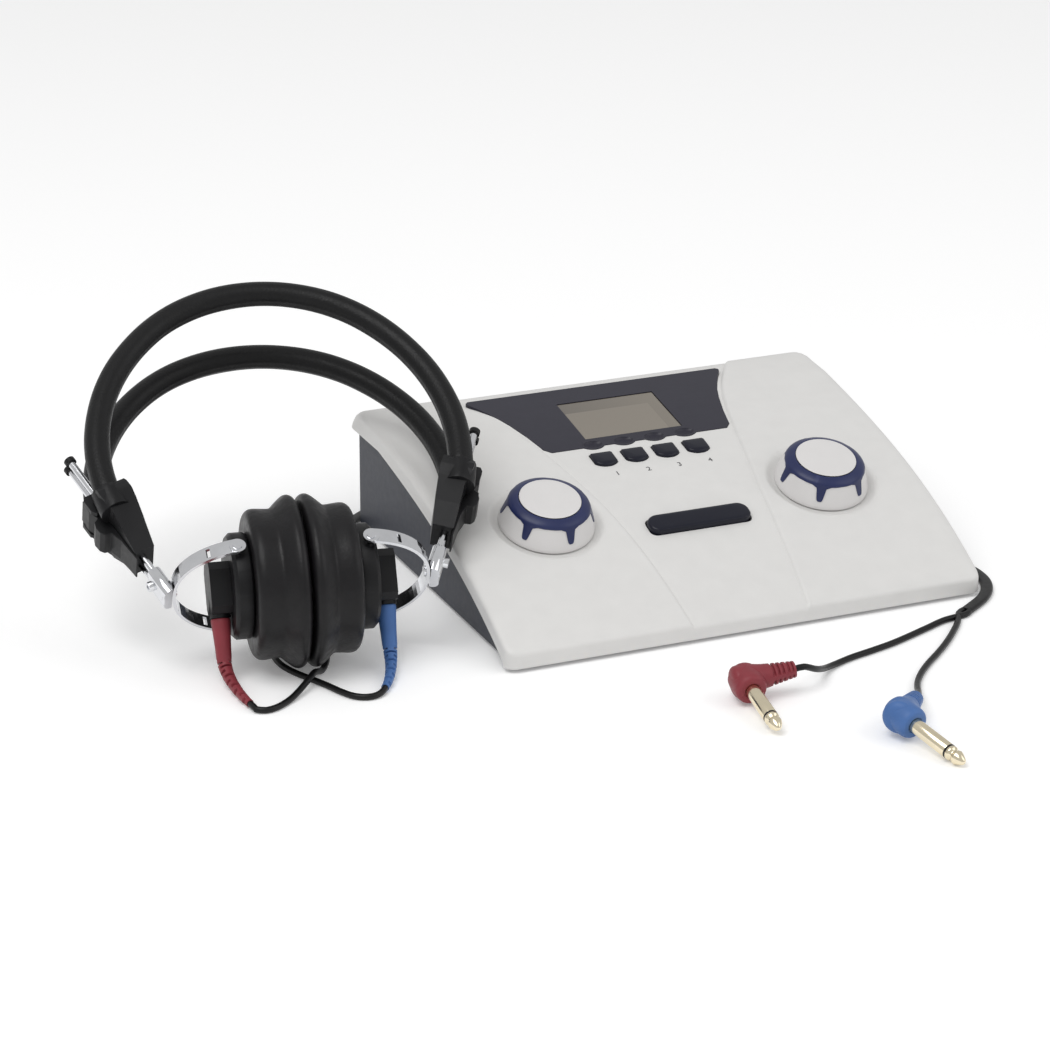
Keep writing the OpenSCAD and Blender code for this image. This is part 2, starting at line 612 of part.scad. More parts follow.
// Strain relief: a round sleeve in the socket, then a ribbed boot that bends to the table.
lead_z = lead_d / 2;
sleeve_l = 18;
sleeve_d = unit(hs_world([0, -cos(35), -sin(35)]) - hs_world([0, 0, 0]));
function sleeve_end(s) = hs_world([s * socket_x, 0, 0]) + (13.1 + sleeve_l) * sleeve_d;
module sleeve(s, tone) color(tone) side(s) cup_down() translate([socket_x, -3, 0])
    rotate([90, 0, 0]) {
        cylinder(h = 11, r = 2.5);
        translate([0, 0, 10.1]) cylinder(h = sleeve_l, r1 = 4.2, r2 = 3.2);
    }
module sleeve_red() sleeve(-1, red_plastic);
module sleeve_blue() sleeve(1, blue_plastic);
function bow(a, b, c, d, n) = [for (i = [0:n]) let (t = i / n, q = 1 - t)
    a * q * q * q + b * 3 * q * q * t + c * 3 * q * t * t + d * t * t * t];
boot_rings = 19;
boot_w = [for (i = [-1:boot_rings]) let (t = max(i, 0) / boot_rings, w = 6.4 - 3.2 * t)
    (t < 0.2 || t > 0.97) ? w : w + (i % 2 == 0 ? 0.5 : -0.9)];
boot_red_end = [-226.4, -84.6, lead_z + 0.7];
boot_blue_end = [-169, -91, lead_z + 0.7];
boot_red_dir = unit([0.15, -1, -0.06]);
boot_blue_dir = unit([-0.6, -0.8, -0.06]);
module boot(s, end, dir) tube(concat([sleeve_end(s) + 0.05 * sleeve_d],
    bow(sleeve_end(s) + sleeve_d, sleeve_end(s) + 7 * sleeve_d, end - 12 * dir, end,
        boot_rings)), boot_w, boot_w, 8);
module boot_red() color(red_plastic) boot(-1, boot_red_end, boot_red_dir);
module boot_blue() color(blue_plastic) boot(1, boot_blue_end, boot_blue_dir);

// Where the two near leads join, and where the twin lead splits again.
joint_a = [-163.6, -5.4, lead_z];
joint_b = [-158, 6, lead_z];
joint_dir = unit(joint_b - joint_a);
joint_side = cross(joint_dir, [0, 0, 1]);
split_at = [97.8, -110.7, lead_z];
split_dir = unit([-6.2, -4.1, 0]);
split_side = cross(split_dir, [0, 0, 1]);
plug_red_at = [-33.4, -155.7, 8.7];
plug_red_turn = [7.2, -6.9, -6.9];
plug_blue_at = [9.2, -212, 9.2];
plug_blue_turn = [10, 12, 14];
plug_bend = [0, 32];
function turn_x(v, a) = [v[0], v[1] * cos(a) - v[2] * sin(a), v[1] * sin(a) + v[2] * cos(a)];
function turn_y(v, a) = [v[0] * cos(a) + v[2] * sin(a), v[1], v[2] * cos(a) - v[0] * sin(a)];
function turn_z(v, a) = [v[0] * cos(a) - v[1] * sin(a), v[0] * sin(a) + v[1] * cos(a), v[2]];
function boot_dir(t, bend) = turn_z(turn_y(turn_x([cos(bend), sin(bend), 0], t[0]), t[1]), t[2]);
plug_boot_l = 21.6;

// Routes of the leads, chosen by hand.
red_near = concat([boot_red_end, boot_red_end + 3 * boot_red_dir,
    [-225.6, -90, 1.6], [-222, -92, 1.4], [-217.6, -91.2, 1.4], [-213, -88.6, 1.4],
    [-208, -85, 1.8], [-202, -80, 3.2], [-197, -75.5, 4.7], [-192.4, -69.6, 4.4],
    [-186.6, -62.4, 1.4], [-182, -55, 1.4], [-178.6, -47, 1.4], [-176, -38, 1.4],
    [-172, -26, 1.4], [-167, -15.5, 1.4]],
    [for (t = [-4, 0]) joint_a + 1.5 * joint_side + t * joint_dir]);
blue_near = concat([boot_blue_end, boot_blue_end + 3 * boot_blue_dir,
    [-174.5, -95.6, 1.5], [-179, -95.6, 1.4], [-183.5, -92.5, 1.4], [-187, -86, 1.4],
    [-190, -78, 1.4], [-194, -69, 1.4], [-198, -60, 1.4], [-200.4, -51, 1.4],
    [-200.4, -42, 1.4], [-198, -33, 1.4], [-191.5, -25.5, 1.4], [-184, -20, 1.4],
    [-175, -15, 1.4]],
    [for (t = [-4, 0]) joint_a - 1.5 * joint_side + t * joint_dir]);
coil_in = [joint_b, joint_b + 6 * joint_dir, [-150, 23, 1.4], [-144, 36, 1.4],
    [-138, 50, 1.4], [-132, 64, 1.4], [-125, 78, 1.4], [-116, 92, 1.4], [-103, 103, 1.4],
    [-88, 110, 1.4], [-72, 113, 1.4], [-60, 117, 1.4], [-52, 125, 1.4], [-50, 134, 1.4],
    [-50, 140, 1.4], [-50, 144, 1.4]];
coil_out = [[30, 144, 4.9], [30, 140, 4.9], [30.4, 134, 4.3], [34, 125, 2.8], [42, 117, 1.6],
    [54, 112, 1.4], [68, 109, 1.4], [83, 108, 1.4], [98, 107, 1.4], [113, 103, 1.4],
    [124, 94, 1.4], [129, 80, 1.4], [130, 62, 1.4], [129, 42, 1.4], [127, 20, 1.4],
    [125, -4, 1.4], [123.5, -28, 1.4], [123.5, -50, 1.4], [124, -66, 1.4],
    [124.4, -75, 1.4], [123, -84, 1.4], [118.6, -93, 1.4], [111.5, -101, 1.4],
    split_at - 4 * split_dir, split_at];
red_tail = concat([for (t = [0, 4]) split_at - 1.5 * split_side + t * split_dir],
    [[84, -116, 1.4], [73, -120.6, 1.4], [61, -125.7, 1.4],
    [50, -130, 1.4], [38, -133.6, 1.4], [27, -136.6, 1.4], [17.5, -140.5, 1.6],
    [10, -145.5, 3], [4.5, -151, 5.6], [-1, -156, 8.6]],
    [for (t = [4.5, 0]) plug_red_at + (plug_boot_l + t) * boot_dir(plug_red_turn, plug_bend[0])]);
blue_tail = concat([for (t = [0, 4]) split_at + 1.5 * split_side + t * split_dir],
    [[88, -120.5, 1.4], [80, -130, 1.4], [71.5, -139, 1.4],
    [63, -147, 1.4], [54.5, -154.5, 1.4], [47, -162, 1.4], [41, -169.5, 1.6],
    [36.5, -177, 2.4], [33, -184, 3.8]],
    [for (t = [4.5, 0]) plug_blue_at + (plug_boot_l + t) * boot_dir(plug_blue_turn, plug_bend[1])]);
module lead_red_near() lead(red_near);
module lead_blue_near() lead(blue_near);
module lead_joint() color(satin_black) {
    p = [for (t = [0, 0.2, 0.8, 1]) joint_a + (joint_b - joint_a) * t + [0, 0, 0.3]];
    tube(p, [6.4, 7.6, 7, 5.8], [2.6, 3.4, 3.4, 3], 8);
}
module lead_coil_in() twin(coil_in);
module lead_coil_out() twin(coil_out);
module lead_red_tail() lead(red_tail);
module lead_blue_tail() lead(blue_tail);

// Put-away coil: in by half its turns on the table, up a layer, and out again on top.
coil_at = [-10, 150, 0];
coil_r = 40;
coil_turns = 6.5;
coil_pitch = 7.2;
coil_layer = 3.5;
coil_steps = 24 * coil_turns;
function ease(t) = let (c = min(1, max(0, t))) c * c * (3 - 2 * c);
coil_mid = coil_turns * 180;
coil_top = lead_z + coil_layer;
coil_path = concat([coil_at + [-coil_r, -6, lead_z]], [for (i = [0:coil_steps])
    let (a = i * 360 / 24, r = coil_r - coil_pitch * (coil_mid - abs(a - coil_mid)) / 360)
        coil_at + [-r * cos(a), r * sin(a), lead_z + coil_layer * ease((a - coil_mid + 36) / 72)]],
    [coil_at + [coil_r, -6, coil_top]]);
coil_gap = min([for (i = [0:coil_steps - 11], j = [i + 12:coil_steps + 2])
    let (d = coil_path[j] - coil_path[i])
        max(norm([d[0], d[1]]) - twin_w, abs(d[2]) - lead_d)]);
module lead_coil() {
    echo(coil_gap_mm = coil_gap);
    color(satin_black) tube(coil_path, flat(coil_path, twin_w), flat(coil_path, lead_d), 6);
}

// ----------------------------------------------------------------------- plugs
// A right-angle phone plug: elbow at the origin, shaft along -Y, boot along +X.
plug_l = 30.6;
module plug(tone, bend) {
    color(tone) {
        rotate([90, 0, 0]) translate([0, 0, -6]) rotate_extrude()
            polygon([[0, 0], [3.6, 0], [5.8, 1], [6.9, 3.2], [6.9, 13], [6.3, 14.2],
                [5.6, 15], [0, 15]]);
        rotate([0, 90, bend]) rotate_extrude() polygon(concat([[0, -6.6], [3.6, -6.6],
            [6, -5.4], [7, -3], [6.8, 2], [5.4, 9]],
            [for (i = [0:4]) each [[4.9 - i * 0.28, 10 + i * 2.2], [4.9 - i * 0.28, 11.1 + i * 2.2],
                [4.1 - i * 0.28, 11.3 + i * 2.2], [4.1 - i * 0.28, 11.9 + i * 2.2]]],
            [[3.2, plug_boot_l], [0, plug_boot_l]]));
    }
    color([0.85, 0.78, 0.62]) rotate([90, 0, 0]) translate([0, 0, 9]) rotate_extrude()
        polygon([[0, 0], [plug_r, 0], [plug_r, 21], [plug_r, 22.6], [2.2, 23.2], [2.2, 24],
            [3.1, 25.6], [2.9, 26.8], [1.4, plug_l - 1], [0.6, plug_l], [0, plug_l]]);
}
module plug_red() translate(plug_red_at) rotate(plug_red_turn) plug(red_plastic, plug_bend[0]);
module plug_blue() translate(plug_blue_at) rotate(plug_blue_turn) plug(blue_plastic, plug_bend[1]);

top_shell();
base_housing();
display_panel();
display_lens();
display_module();
main_board();
key_switches();
encoder_bodies();
feet();
screws();
phone_jacks();
power_inlet();
key_1();
key_2();
key_3();
key_4();
tone_bar();
knob_left_skin();
knob_left_core();
knob_left_shaft();
knob_right_skin();
knob_right_core();
knob_right_shaft();
band_pad_front();
band_pad_rear();
band_spring_front();
band_spring_rear();
holder_left();
holder_right();
lever_left();
lever_right();
lever_pins();
slider_left();
slider_right();
clevis_left();
clevis_right();
stirrup_left();
stirrup_right();
case_left();
case_right();
cushion_left();
cushion_right();
socket_left();
socket_right();
sleeve_red();
sleeve_blue();
boot_red();
boot_blue();
lead_red_near();
lead_blue_near();
lead_joint();
lead_coil_in();
lead_coil();
lead_coil_out();
lead_red_tail();
lead_blue_tail();
plug_red();
plug_blue();
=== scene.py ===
# %% [markdown]
# # Audiometer with headset
# A desk unit with a display, keys, a tone bar and two knobs, and a headset with its leads.
# Sizes below are written in millimetres and turned into metres as each piece is made.
# X is to the right, Y to the rear, Z up, and the origin is the middle of the unit's footprint.

import math

import bmesh
import bpy
from mathutils import Matrix, Vector, noise


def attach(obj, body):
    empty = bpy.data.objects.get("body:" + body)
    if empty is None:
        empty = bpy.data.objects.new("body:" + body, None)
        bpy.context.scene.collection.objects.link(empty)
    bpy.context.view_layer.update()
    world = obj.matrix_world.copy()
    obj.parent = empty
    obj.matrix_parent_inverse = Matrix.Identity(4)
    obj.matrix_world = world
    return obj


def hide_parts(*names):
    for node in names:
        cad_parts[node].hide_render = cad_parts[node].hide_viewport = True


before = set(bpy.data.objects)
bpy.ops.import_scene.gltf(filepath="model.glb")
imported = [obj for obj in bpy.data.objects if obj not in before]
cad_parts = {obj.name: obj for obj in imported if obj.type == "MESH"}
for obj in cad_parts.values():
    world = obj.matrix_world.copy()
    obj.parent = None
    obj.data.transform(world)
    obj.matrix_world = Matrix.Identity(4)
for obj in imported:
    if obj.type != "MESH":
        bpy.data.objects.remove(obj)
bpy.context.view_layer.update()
MM = 0.001
print("CAD nodes:", len(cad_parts))

# %% [markdown]
# The camera stands where the photograph was taken from, so a render can be laid over it.
# It could be aimed with a constraint, but a fixed matrix gives the same picture every time.

# %% Camera at the photograph's place
camera = bpy.data.objects.new("camera", bpy.data.cameras.new("camera"))
bpy.context.scene.collection.objects.link(camera)
camera.data.lens = 123.6
camera.data.sensor_width = 36
camera.data.clip_start = 0.05
camera.data.clip_end = 20
right = Vector((0.91835, -0.39574, 0.00498))
up = Vector((0.13996, 0.33651, 0.93122))
back = right.cross(up)
camera.matrix_world = Matrix.Translation(Vector((-663.7, -1379.0, 614.9)) * MM) @ (
    Matrix((right, up, back)).transposed().to_4x4()
)
bpy.context.scene.camera = camera
print("camera at", [round(c, 3) for c in camera.location])

# %% [markdown]
# ## Mesh helpers
# Every piece is made of points in millimetres, given once in the frame of the whole object.


# %% Making and placing a mesh piece
def add(name, points, faces, body, paint, slot, replaces=(), sharp=35):
    """A mesh piece, smooth but for edges sharper than `sharp` degrees."""
    mesh = bpy.data.meshes.new(name)
    mesh.from_pydata([tuple(c * MM for c in p) for p in points], [], faces)
    bm = bmesh.new()
    bm.from_mesh(mesh)
    bmesh.ops.remove_doubles(bm, verts=bm.verts, dist=2e-6)
    bmesh.ops.dissolve_degenerate(bm, edges=bm.edges, dist=1e-6)
    bmesh.ops.recalc_face_normals(bm, faces=bm.faces)
    bm.to_mesh(mesh)
    bm.free()
    return settle(name, mesh, body, paint, replaces, sharp)


def settle(name, mesh, body, paint, replaces=(), sharp=35):
    """Gives a mesh its material and smoothness, and makes it ride on a body."""
    mesh.shade_smooth()
    mesh.set_sharp_from_angle(angle=math.radians(sharp))
    for one in paint if isinstance(paint, list) else [paint]:
        mesh.materials.append(one)
    piece = bpy.data.objects.new(name, mesh)
    bpy.context.scene.collection.objects.link(piece)
    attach(piece, body)
    if replaces:
        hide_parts(*replaces)
    return piece


def bevel(piece, width, segments=3, angle=35):
    """Rounds the sharp edges of a piece."""
    mod = piece.modifiers.new("edges", "BEVEL")
    mod.width = width * MM
    mod.segments = segments
    mod.limit_method = "ANGLE"
    mod.angle_limit = math.radians(angle)
    mod.harden_normals = True
    mod.miter_outer = "MITER_ARC"
    return piece


def dress(node, paint, width=0.0, angle=35):
    """Gives a CAD node its material, and softer edges where width is above zero."""
    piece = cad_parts[node]
    piece.data.materials.clear()
    piece.data.materials.append(paint)
    if width:
        weld = piece.modifiers.new("weld", "WELD")
        weld.merge_threshold = 1e-6
        # A flat wall becomes one face, or the bevel would draw thin lines across it.
        flat = piece.modifiers.new("flat", "DECIMATE")
        flat.decimate_type = "DISSOLVE"
        flat.angle_limit = math.radians(0.2)
        bevel(piece, width, 2, angle)
    return piece


# %% [markdown]
# Knobs, cushions and plugs are turned shapes, and leads and boots are swept ones. The spin
# operator could turn a profile too. Working out the rings lets a profile waver with its angle.

# %% Surfaces of revolution and swept tubes
def lathe(profile, place, steps=96, wobble=None):
    """Points and faces of a profile of (radius, height) turned about Z, then moved by place."""
    points, faces = [], []
    for i in range(steps):
        a = 2 * math.pi * i / steps
        for j, (r, h) in enumerate(profile):
            if wobble:
                r, h = wobble(r, h, a)
            points.append(place @ Vector((r * math.cos(a), r * math.sin(a), h)))
    n = len(profile)
    for i in range(steps):
        for j in range(n - 1):
            k = (i + 1) % steps
            faces.append((i * n + j, k * n + j, k * n + j + 1, i * n + j + 1))
    return points, faces


def smooth_line(points, step):
    """A Catmull-Rom curve through the points, about step long between its own points."""
    p = [Vector(q) for q in points]
    p = [2 * p[0] - p[1], *p, 2 * p[-1] - p[-2]]
    out = []
    for i in range(1, len(p) - 2):
        a, b, c, d = p[i - 1 : i + 3]
        n = max(1, round((c - b).length / step))
        for k in range(n):
            t = k / n
            out.append(
                0.5
                * (
                    2 * b
                    + (c - a) * t
                    + (2 * a - 5 * b + 4 * c - d) * t * t
                    + (3 * b - a - 3 * c + d) * t * t * t
                )
            )
    return [*out, p[-2]]


def sweep(line, ring):
    """A closed tube along a line; ring(i, t) gives the corners there, as (side, rise)."""
    points, faces = [], []
    n = 0
    for i, p in enumerate(line):
        d = (line[min(i + 1, len(line) - 1)] - line[max(i - 1, 0)]).normalized()
        side = d.cross(Vector((0, 0, 1))).normalized()
        rise = side.cross(d)
        corners = ring(i, i / (len(line) - 1))
        n = len(corners)
        points += [p + side * s + rise * u for s, u in corners]
    for i in range(len(line) - 1):
        for k in range(n):
            a, b = i * n + k, i * n + (k + 1) % n
            faces.append((a, b, b + n, a + n))
    faces.append(tuple(range(n - 1, -1, -1)))
    faces.append(tuple(range((len(line) - 1) * n, len(line) * n)))
    return points, faces


def round_ring(radius, sides=16):
    """The corners of a round section."""
    return [
        (radius * math.cos(2 * math.pi * k / sides), radius * math.sin(2 * math.pi * k / sides))
        for k in range(sides)
    ]


def length_of(line):
    """Length of a line of points."""
    return sum((b - a).length for a, b in zip(line, line[1:]))


# %% [markdown]
# ## Materials
# All are node materials on object coordinates, so the grain keeps its real size.


# %% Material builder
def rgb(r, g, b):
    """A colour written as 0 to 255, for the shader."""
    return [
        (c / 255 / 12.92) if c <= 10 else ((c / 255 + 0.055) / 1.055) ** 2.4 for c in (r, g, b)
    ] + [1]


def material(name, colour, rough=0.5, metallic=0.0, grain=0.4, bump=0.05, vary=0.06, coat=0.0,
             cells=False, wear=0.0, shine=0.5):
    """A material with mottled colour and roughness and a fine bump; grain is its size in mm."""
    mat = bpy.data.materials.new(name)
    mat.use_nodes = True
    nodes, links = mat.node_tree.nodes, mat.node_tree.links
    shader = nodes["Principled BSDF"]
    shader.inputs["Metallic"].default_value = metallic
    shader.inputs["Coat Weight"].default_value = coat
    shader.inputs["Specular IOR Level"].default_value = shine
    shader.inputs["Coat Roughness"].default_value = 0.15
    where = nodes.new("ShaderNodeTexCoord")

    def cloud(size, detail):
        node = nodes.new("ShaderNodeTexNoise")
        node.inputs["Scale"].default_value = 1000 / size
        node.inputs["Detail"].default_value = detail
        links.new(where.outputs["Object"], node.inputs["Vector"])
        return node

    def spread(source, low, high):
        node = nodes.new("ShaderNodeMapRange")
        node.inputs["From Min"].default_value = 0.3
        node.inputs["From Max"].default_value = 0.7
        node.inputs["To Min"].default_value = low
        node.inputs["To Max"].default_value = high
        links.new(source, node.inputs["Value"])
        return node

    mottle = cloud(9, 3)
    mix = nodes.new("ShaderNodeMix")
    mix.data_type = "RGBA"
    base = rgb(*colour)
    mix.inputs[6].default_value = [c * (1 - vary) for c in base[:3]] + [1]
    mix.inputs[7].default_value = [min(1, c * (1 + vary)) for c in base[:3]] + [1]
    links.new(spread(mottle.outputs["Fac"], 0, 1).outputs["Result"], mix.inputs[0])
    links.new(mix.outputs[2], shader.inputs["Base Color"])
    patch = cloud(3, 4)
    links.new(
        spread(patch.outputs["Fac"], rough * (1 - vary), min(1, rough * (1 + vary))).outputs[
            "Result"
        ],
        shader.inputs["Roughness"],
    )
    if cells:
        fine = nodes.new("ShaderNodeTexVoronoi")
        fine.inputs["Scale"].default_value = 1000 / grain
        links.new(where.outputs["Object"], fine.inputs["Vector"])
        height = fine.outputs["Distance"]
    else:
        height = cloud(grain, 2).outputs["Fac"]
    relief = nodes.new("ShaderNodeBump")
    relief.inputs["Strength"].default_value = bump
    relief.inputs["Distance"].default_value = grain * MM * 0.3
    links.new(height, relief.inputs["Height"])
    links.new(relief.outputs["Normal"], shader.inputs["Normal"])
    if wear:
        edge = nodes.new("ShaderNodeNewGeometry")
        lift = nodes.new("ShaderNodeMapRange")
        lift.inputs["From Min"].default_value = 0.5
        lift.inputs["From Max"].default_value = 0.62
        lift.inputs["To Max"].default_value = wear
        links.new(edge.outputs["Pointiness"], lift.inputs["Value"])
        worn = nodes.new("ShaderNodeMix")
        worn.data_type = "RGBA"
        worn.inputs[7].default_value = [min(1, c * 1.8 + 0.03) for c in base[:3]] + [1]
        links.new(mix.outputs[2], worn.inputs[6])
        links.new(lift.outputs["Result"], worn.inputs[0])
        links.new(worn.outputs[2], shader.inputs["Base Color"])
    return mat


# %% The materials
shell_paint = material("shell", (219, 218, 216), 0.45, grain=0.5, bump=0.12, vary=0.015)
slate_paint = material("slate", (40, 44, 56), 0.5, grain=0.5, bump=0.2, vary=0.05)
panel_paint = material("panel", (44, 43, 54), 0.36, grain=0.3, bump=0.1, vary=0.04, shine=0.3)
key_paint = material("key", (15, 17, 32), 0.3, grain=0.3, bump=0.08, vary=0.05, wear=0.2, shine=0.3)
cap_paint = material("cap", (218, 216, 215), 0.34, grain=0.4, bump=0.06, vary=0.012)
navy_paint = material("navy", (34, 42, 82), 0.34, grain=0.3, bump=0.08, vary=0.06, wear=0.3, shine=0.35)
black_paint = material("black_plastic", (17, 17, 19), 0.4, grain=0.4, bump=0.2, vary=0.1, wear=0.15,
                       shine=0.25)
rubber_paint = material("rubber", (19, 18, 20), 0.42, grain=1.2, bump=0.22, vary=0.18, coat=0.05,
                        shine=0.25)
leather_paint = material("leather", (17, 17, 18), 0.42, grain=0.9, bump=0.3, vary=0.12, cells=True,
                         shine=0.25)
chrome_paint = material("chrome", (222, 223, 226), 0.12, 1.0, grain=0.2, bump=0.03, vary=0.05)
lead_paint = material("lead", (14, 14, 15), 0.38, grain=0.4, bump=0.15, vary=0.1, shine=0.3)
red_paint = material("red", (132, 52, 60), 0.46, grain=0.4, bump=0.15, vary=0.08, wear=0.2, shine=0.3)
blue_paint = material("blue", (72, 108, 164), 0.44, grain=0.4, bump=0.15, vary=0.08, wear=0.2,
                      shine=0.3)
gold_paint = material("plug_metal", (238, 226, 198), 0.17, 1.0, grain=0.3, bump=0.03, vary=0.05)
steel_paint = material("steel", (176, 178, 182), 0.3, 1.0, grain=0.3, bump=0.08, vary=0.1)
board_paint = material("board", (34, 92, 62), 0.4, grain=0.8, bump=0.1, vary=0.1)
ink_paint = material("ink", (40, 40, 46), 0.5, grain=0.3, bump=0.05, vary=0.05)
print("materials:", len(bpy.data.materials))

# %% [markdown]
# ## Leads
# Two single leads run from the boots to the join, one twin lead goes on from there, out of
# sight behind the unit and into its coil, and splits again into the two tails of the plugs.

# %% The headset's own frame
HS_AT = Vector((-189.8, -47, 37))
HS = (
    Matrix.Translation(HS_AT)
    @ Matrix.Rotation(math.radians(-10.4), 4, "Z")
    @ Matrix.Rotation(math.radians(28.2), 4, "X")
)
MIRROR = Matrix.Diagonal((-1, 1, 1, 1))


def side(s):
    """The headset's right side as drawn, or its left."""
    return HS @ MIRROR if s < 0 else HS


# %% Routes, each through the same points as the CAD solid
LEAD = 2.8
TWIN = 5.6
CUP_DOWN = Vector((0, -math.cos(math.radians(35)), -math.sin(math.radians(35))))
sleeve_dir = (HS.to_3x3() @ CUP_DOWN).normalized()
joint_a, joint_b = Vector((-163.6, -5.4, 1.4)), Vector((-158, 6, 1.4))
joint_dir = (joint_b - joint_a).normalized()
joint_side = joint_dir.cross(Vector((0, 0, 1)))
split_at = Vector((97.8, -110.7, 1.4))
split_dir = Vector((-6.2, -4.1, 0)).normalized()
split_side = split_dir.cross(Vector((0, 0, 1)))
red_end, blue_end = Vector((-226.4, -84.6, 2.1)), Vector((-169, -91, 2.1))
red_dir = Vector((0.15, -1, -0.06)).normalized()
blue_dir = Vector((-0.6, -0.8, -0.06)).normalized()
plug_at = {"red": Vector((-33.4, -155.7, 8.7)), "blue": Vector((9.2, -212, 9.2))}
plug_turn = {"red": (7.2, -6.9, -6.9), "blue": (10, 12, 14)}
plug_bend = {"red": 0, "blue": 32}


def plug_place(tone):
    """Where a plug's elbow is: its shaft runs along -Y and its boot along X."""
    a, b, c = (math.radians(t) for t in plug_turn[tone])
    return (
        Matrix.Translation(plug_at[tone])
        @ Matrix.Rotation(c, 4, "Z")
        @ Matrix.Rotation(b, 4, "Y")
        @ Matrix.Rotation(a, 4, "X")
    )


def boot_back(tone, far):
    """A point on the axis of a plug's boot."""
    bend = Matrix.Rotation(math.radians(plug_bend[tone]), 4, "Z")
    return plug_place(tone) @ bend @ Vector((21.6 + far, 0, 0))


red_near = [red_end, red_end + 3 * red_dir] + [
    (-225.6, -90, 1.6), (-222, -92, 1.4), (-217.6, -91.2, 1.4), (-213, -88.6, 1.4),
    (-208, -85, 1.8), (-202, -80, 3.2), (-197, -75.5, 4.7), (-192.4, -69.6, 4.4),
    (-186.6, -62.4, 1.4), (-182, -55, 1.4), (-178.6, -47, 1.4), (-176, -38, 1.4),
    (-172, -26, 1.4), (-167, -15.5, 1.4),
] + [joint_a + 1.5 * joint_side + t * joint_dir for t in (-4, 0)]
blue_near = [blue_end, blue_end + 3 * blue_dir] + [
    (-174.5, -95.6, 1.5), (-179, -95.6, 1.4), (-183.5, -92.5, 1.4), (-187, -86, 1.4),
    (-190, -78, 1.4), (-194, -69, 1.4), (-198, -60, 1.4), (-200.4, -51, 1.4),
    (-200.4, -42, 1.4), (-198, -33, 1.4), (-191.5, -25.5, 1.4), (-184, -20, 1.4),
    (-175, -15, 1.4),
] + [joint_a - 1.5 * joint_side + t * joint_dir for t in (-4, 0)]
coil_in = [joint_b, joint_b + 6 * joint_dir] + [
    (-150, 23, 1.4), (-144, 36, 1.4), (-138, 50, 1.4), (-132, 64, 1.4), (-125, 78, 1.4),
    (-116, 92, 1.4), (-103, 103, 1.4), (-88, 110, 1.4), (-72, 113, 1.4), (-60, 117, 1.4),
    (-52, 125, 1.4), (-50, 134, 1.4), (-50, 140, 1.4), (-50, 144, 1.4),
]
coil_out = [
    (30, 144, 4.9), (30, 140, 4.9), (30.4, 134, 4.3), (34, 125, 2.8), (42, 117, 1.6),
    (54, 112, 1.4), (68, 109, 1.4), (83, 108, 1.4), (98, 107, 1.4), (113, 103, 1.4),
    (124, 94, 1.4), (129, 80, 1.4), (130, 62, 1.4), (129, 42, 1.4), (127, 20, 1.4),
    (125, -4, 1.4), (123.5, -28, 1.4), (123.5, -50, 1.4), (124, -66, 1.4),
    (124.4, -75, 1.4), (123, -84, 1.4), (118.6, -93, 1.4), (111.5, -101, 1.4),
    split_at - 4 * split_dir, split_at,
]
red_tail = [split_at - 1.5 * split_side + t * split_dir for t in (0, 4)] + [
    (84, -116, 1.4), (73, -120.6, 1.4), (61, -125.7, 1.4), (50, -130, 1.4),
    (38, -133.6, 1.4), (27, -136.6, 1.4), (17.5, -140.5, 1.6), (10, -145.5, 3),
    (4.5, -151, 5.6), (-1, -156, 8.6), boot_back("red", 4.5), boot_back("red", 0),
]
blue_tail = [split_at + 1.5 * split_side + t * split_dir for t in (0, 4)] + [
    (88, -120.5, 1.4), (80, -130, 1.4), (71.5, -139, 1.4), (63, -147, 1.4),
    (54.5, -154.5, 1.4), (47, -162, 1.4), (41, -169.5, 1.6), (36.5, -177, 2.4),
    (33, -184, 3.8), boot_back("blue", 4.5), boot_back("blue", 0),
]


def ease(t):
    """A smooth step from 0 to 1."""
    t = min(1, max(0, t))
    return t * t * (3 - 2 * t)


coil_path = [Vector((-50, 144, 1.4))]
for i in range(24 * 6 + 13):
    a = i * 15
    reach = 40 - 7.2 * (1170 - abs(a - 1170)) / 360
    coil_path.append(
        Vector((
            -10 - reach * math.cos(math.radians(a)),
            150 + reach * math.sin(math.radians(a)),
            1.4 + 3.5 * ease((a - 1170 + 36) / 72),
        ))
    )
coil_path.append(Vector((30, 144, 4.9)))


# %% [markdown]
# A plug is a soft grip moulded over a turned metal shaft. The grip is one closed sweep and the
# shaft one turned profile, as on the real object, so each shows its own seam and gloss.

# %% Phone plugs: a right-angle grip with a ribbed boot, and a turned shaft with its tip
BOOT_FROM, BOOT_TO = -6.5, 21.6


def plug_boot_r(x):
    """Radius of a plug's body along its boot: a blunt round end, then a taper."""
    if x < -3:
        return 7 * (1 - 0.985 * min(1, (-3 - x) / 3.5) ** 2.5) ** 0.4
    return 7 - 1.9 * ease((x + 1) / 11) - 0.125 * max(0, x - 9)


def plug_boot_ring(i, t):
    """The body's section, with slots round its last half that two webs bridge."""
    x = BOOT_FROM + (BOOT_TO - BOOT_FROM) * t
    slot_here = 9.9 < x < 20.6 and ((x - 9.9) / 2.2) % 1 > 0.56
    out = []
    for k in range(32):
        a = 2 * math.pi * k / 32
        web = abs(math.sin(a)) < 0.28
        here = plug_boot_r(x) * (0.8 if slot_here and not web else 1)
        out.append((here * math.cos(a), here * math.sin(a)))
    return out


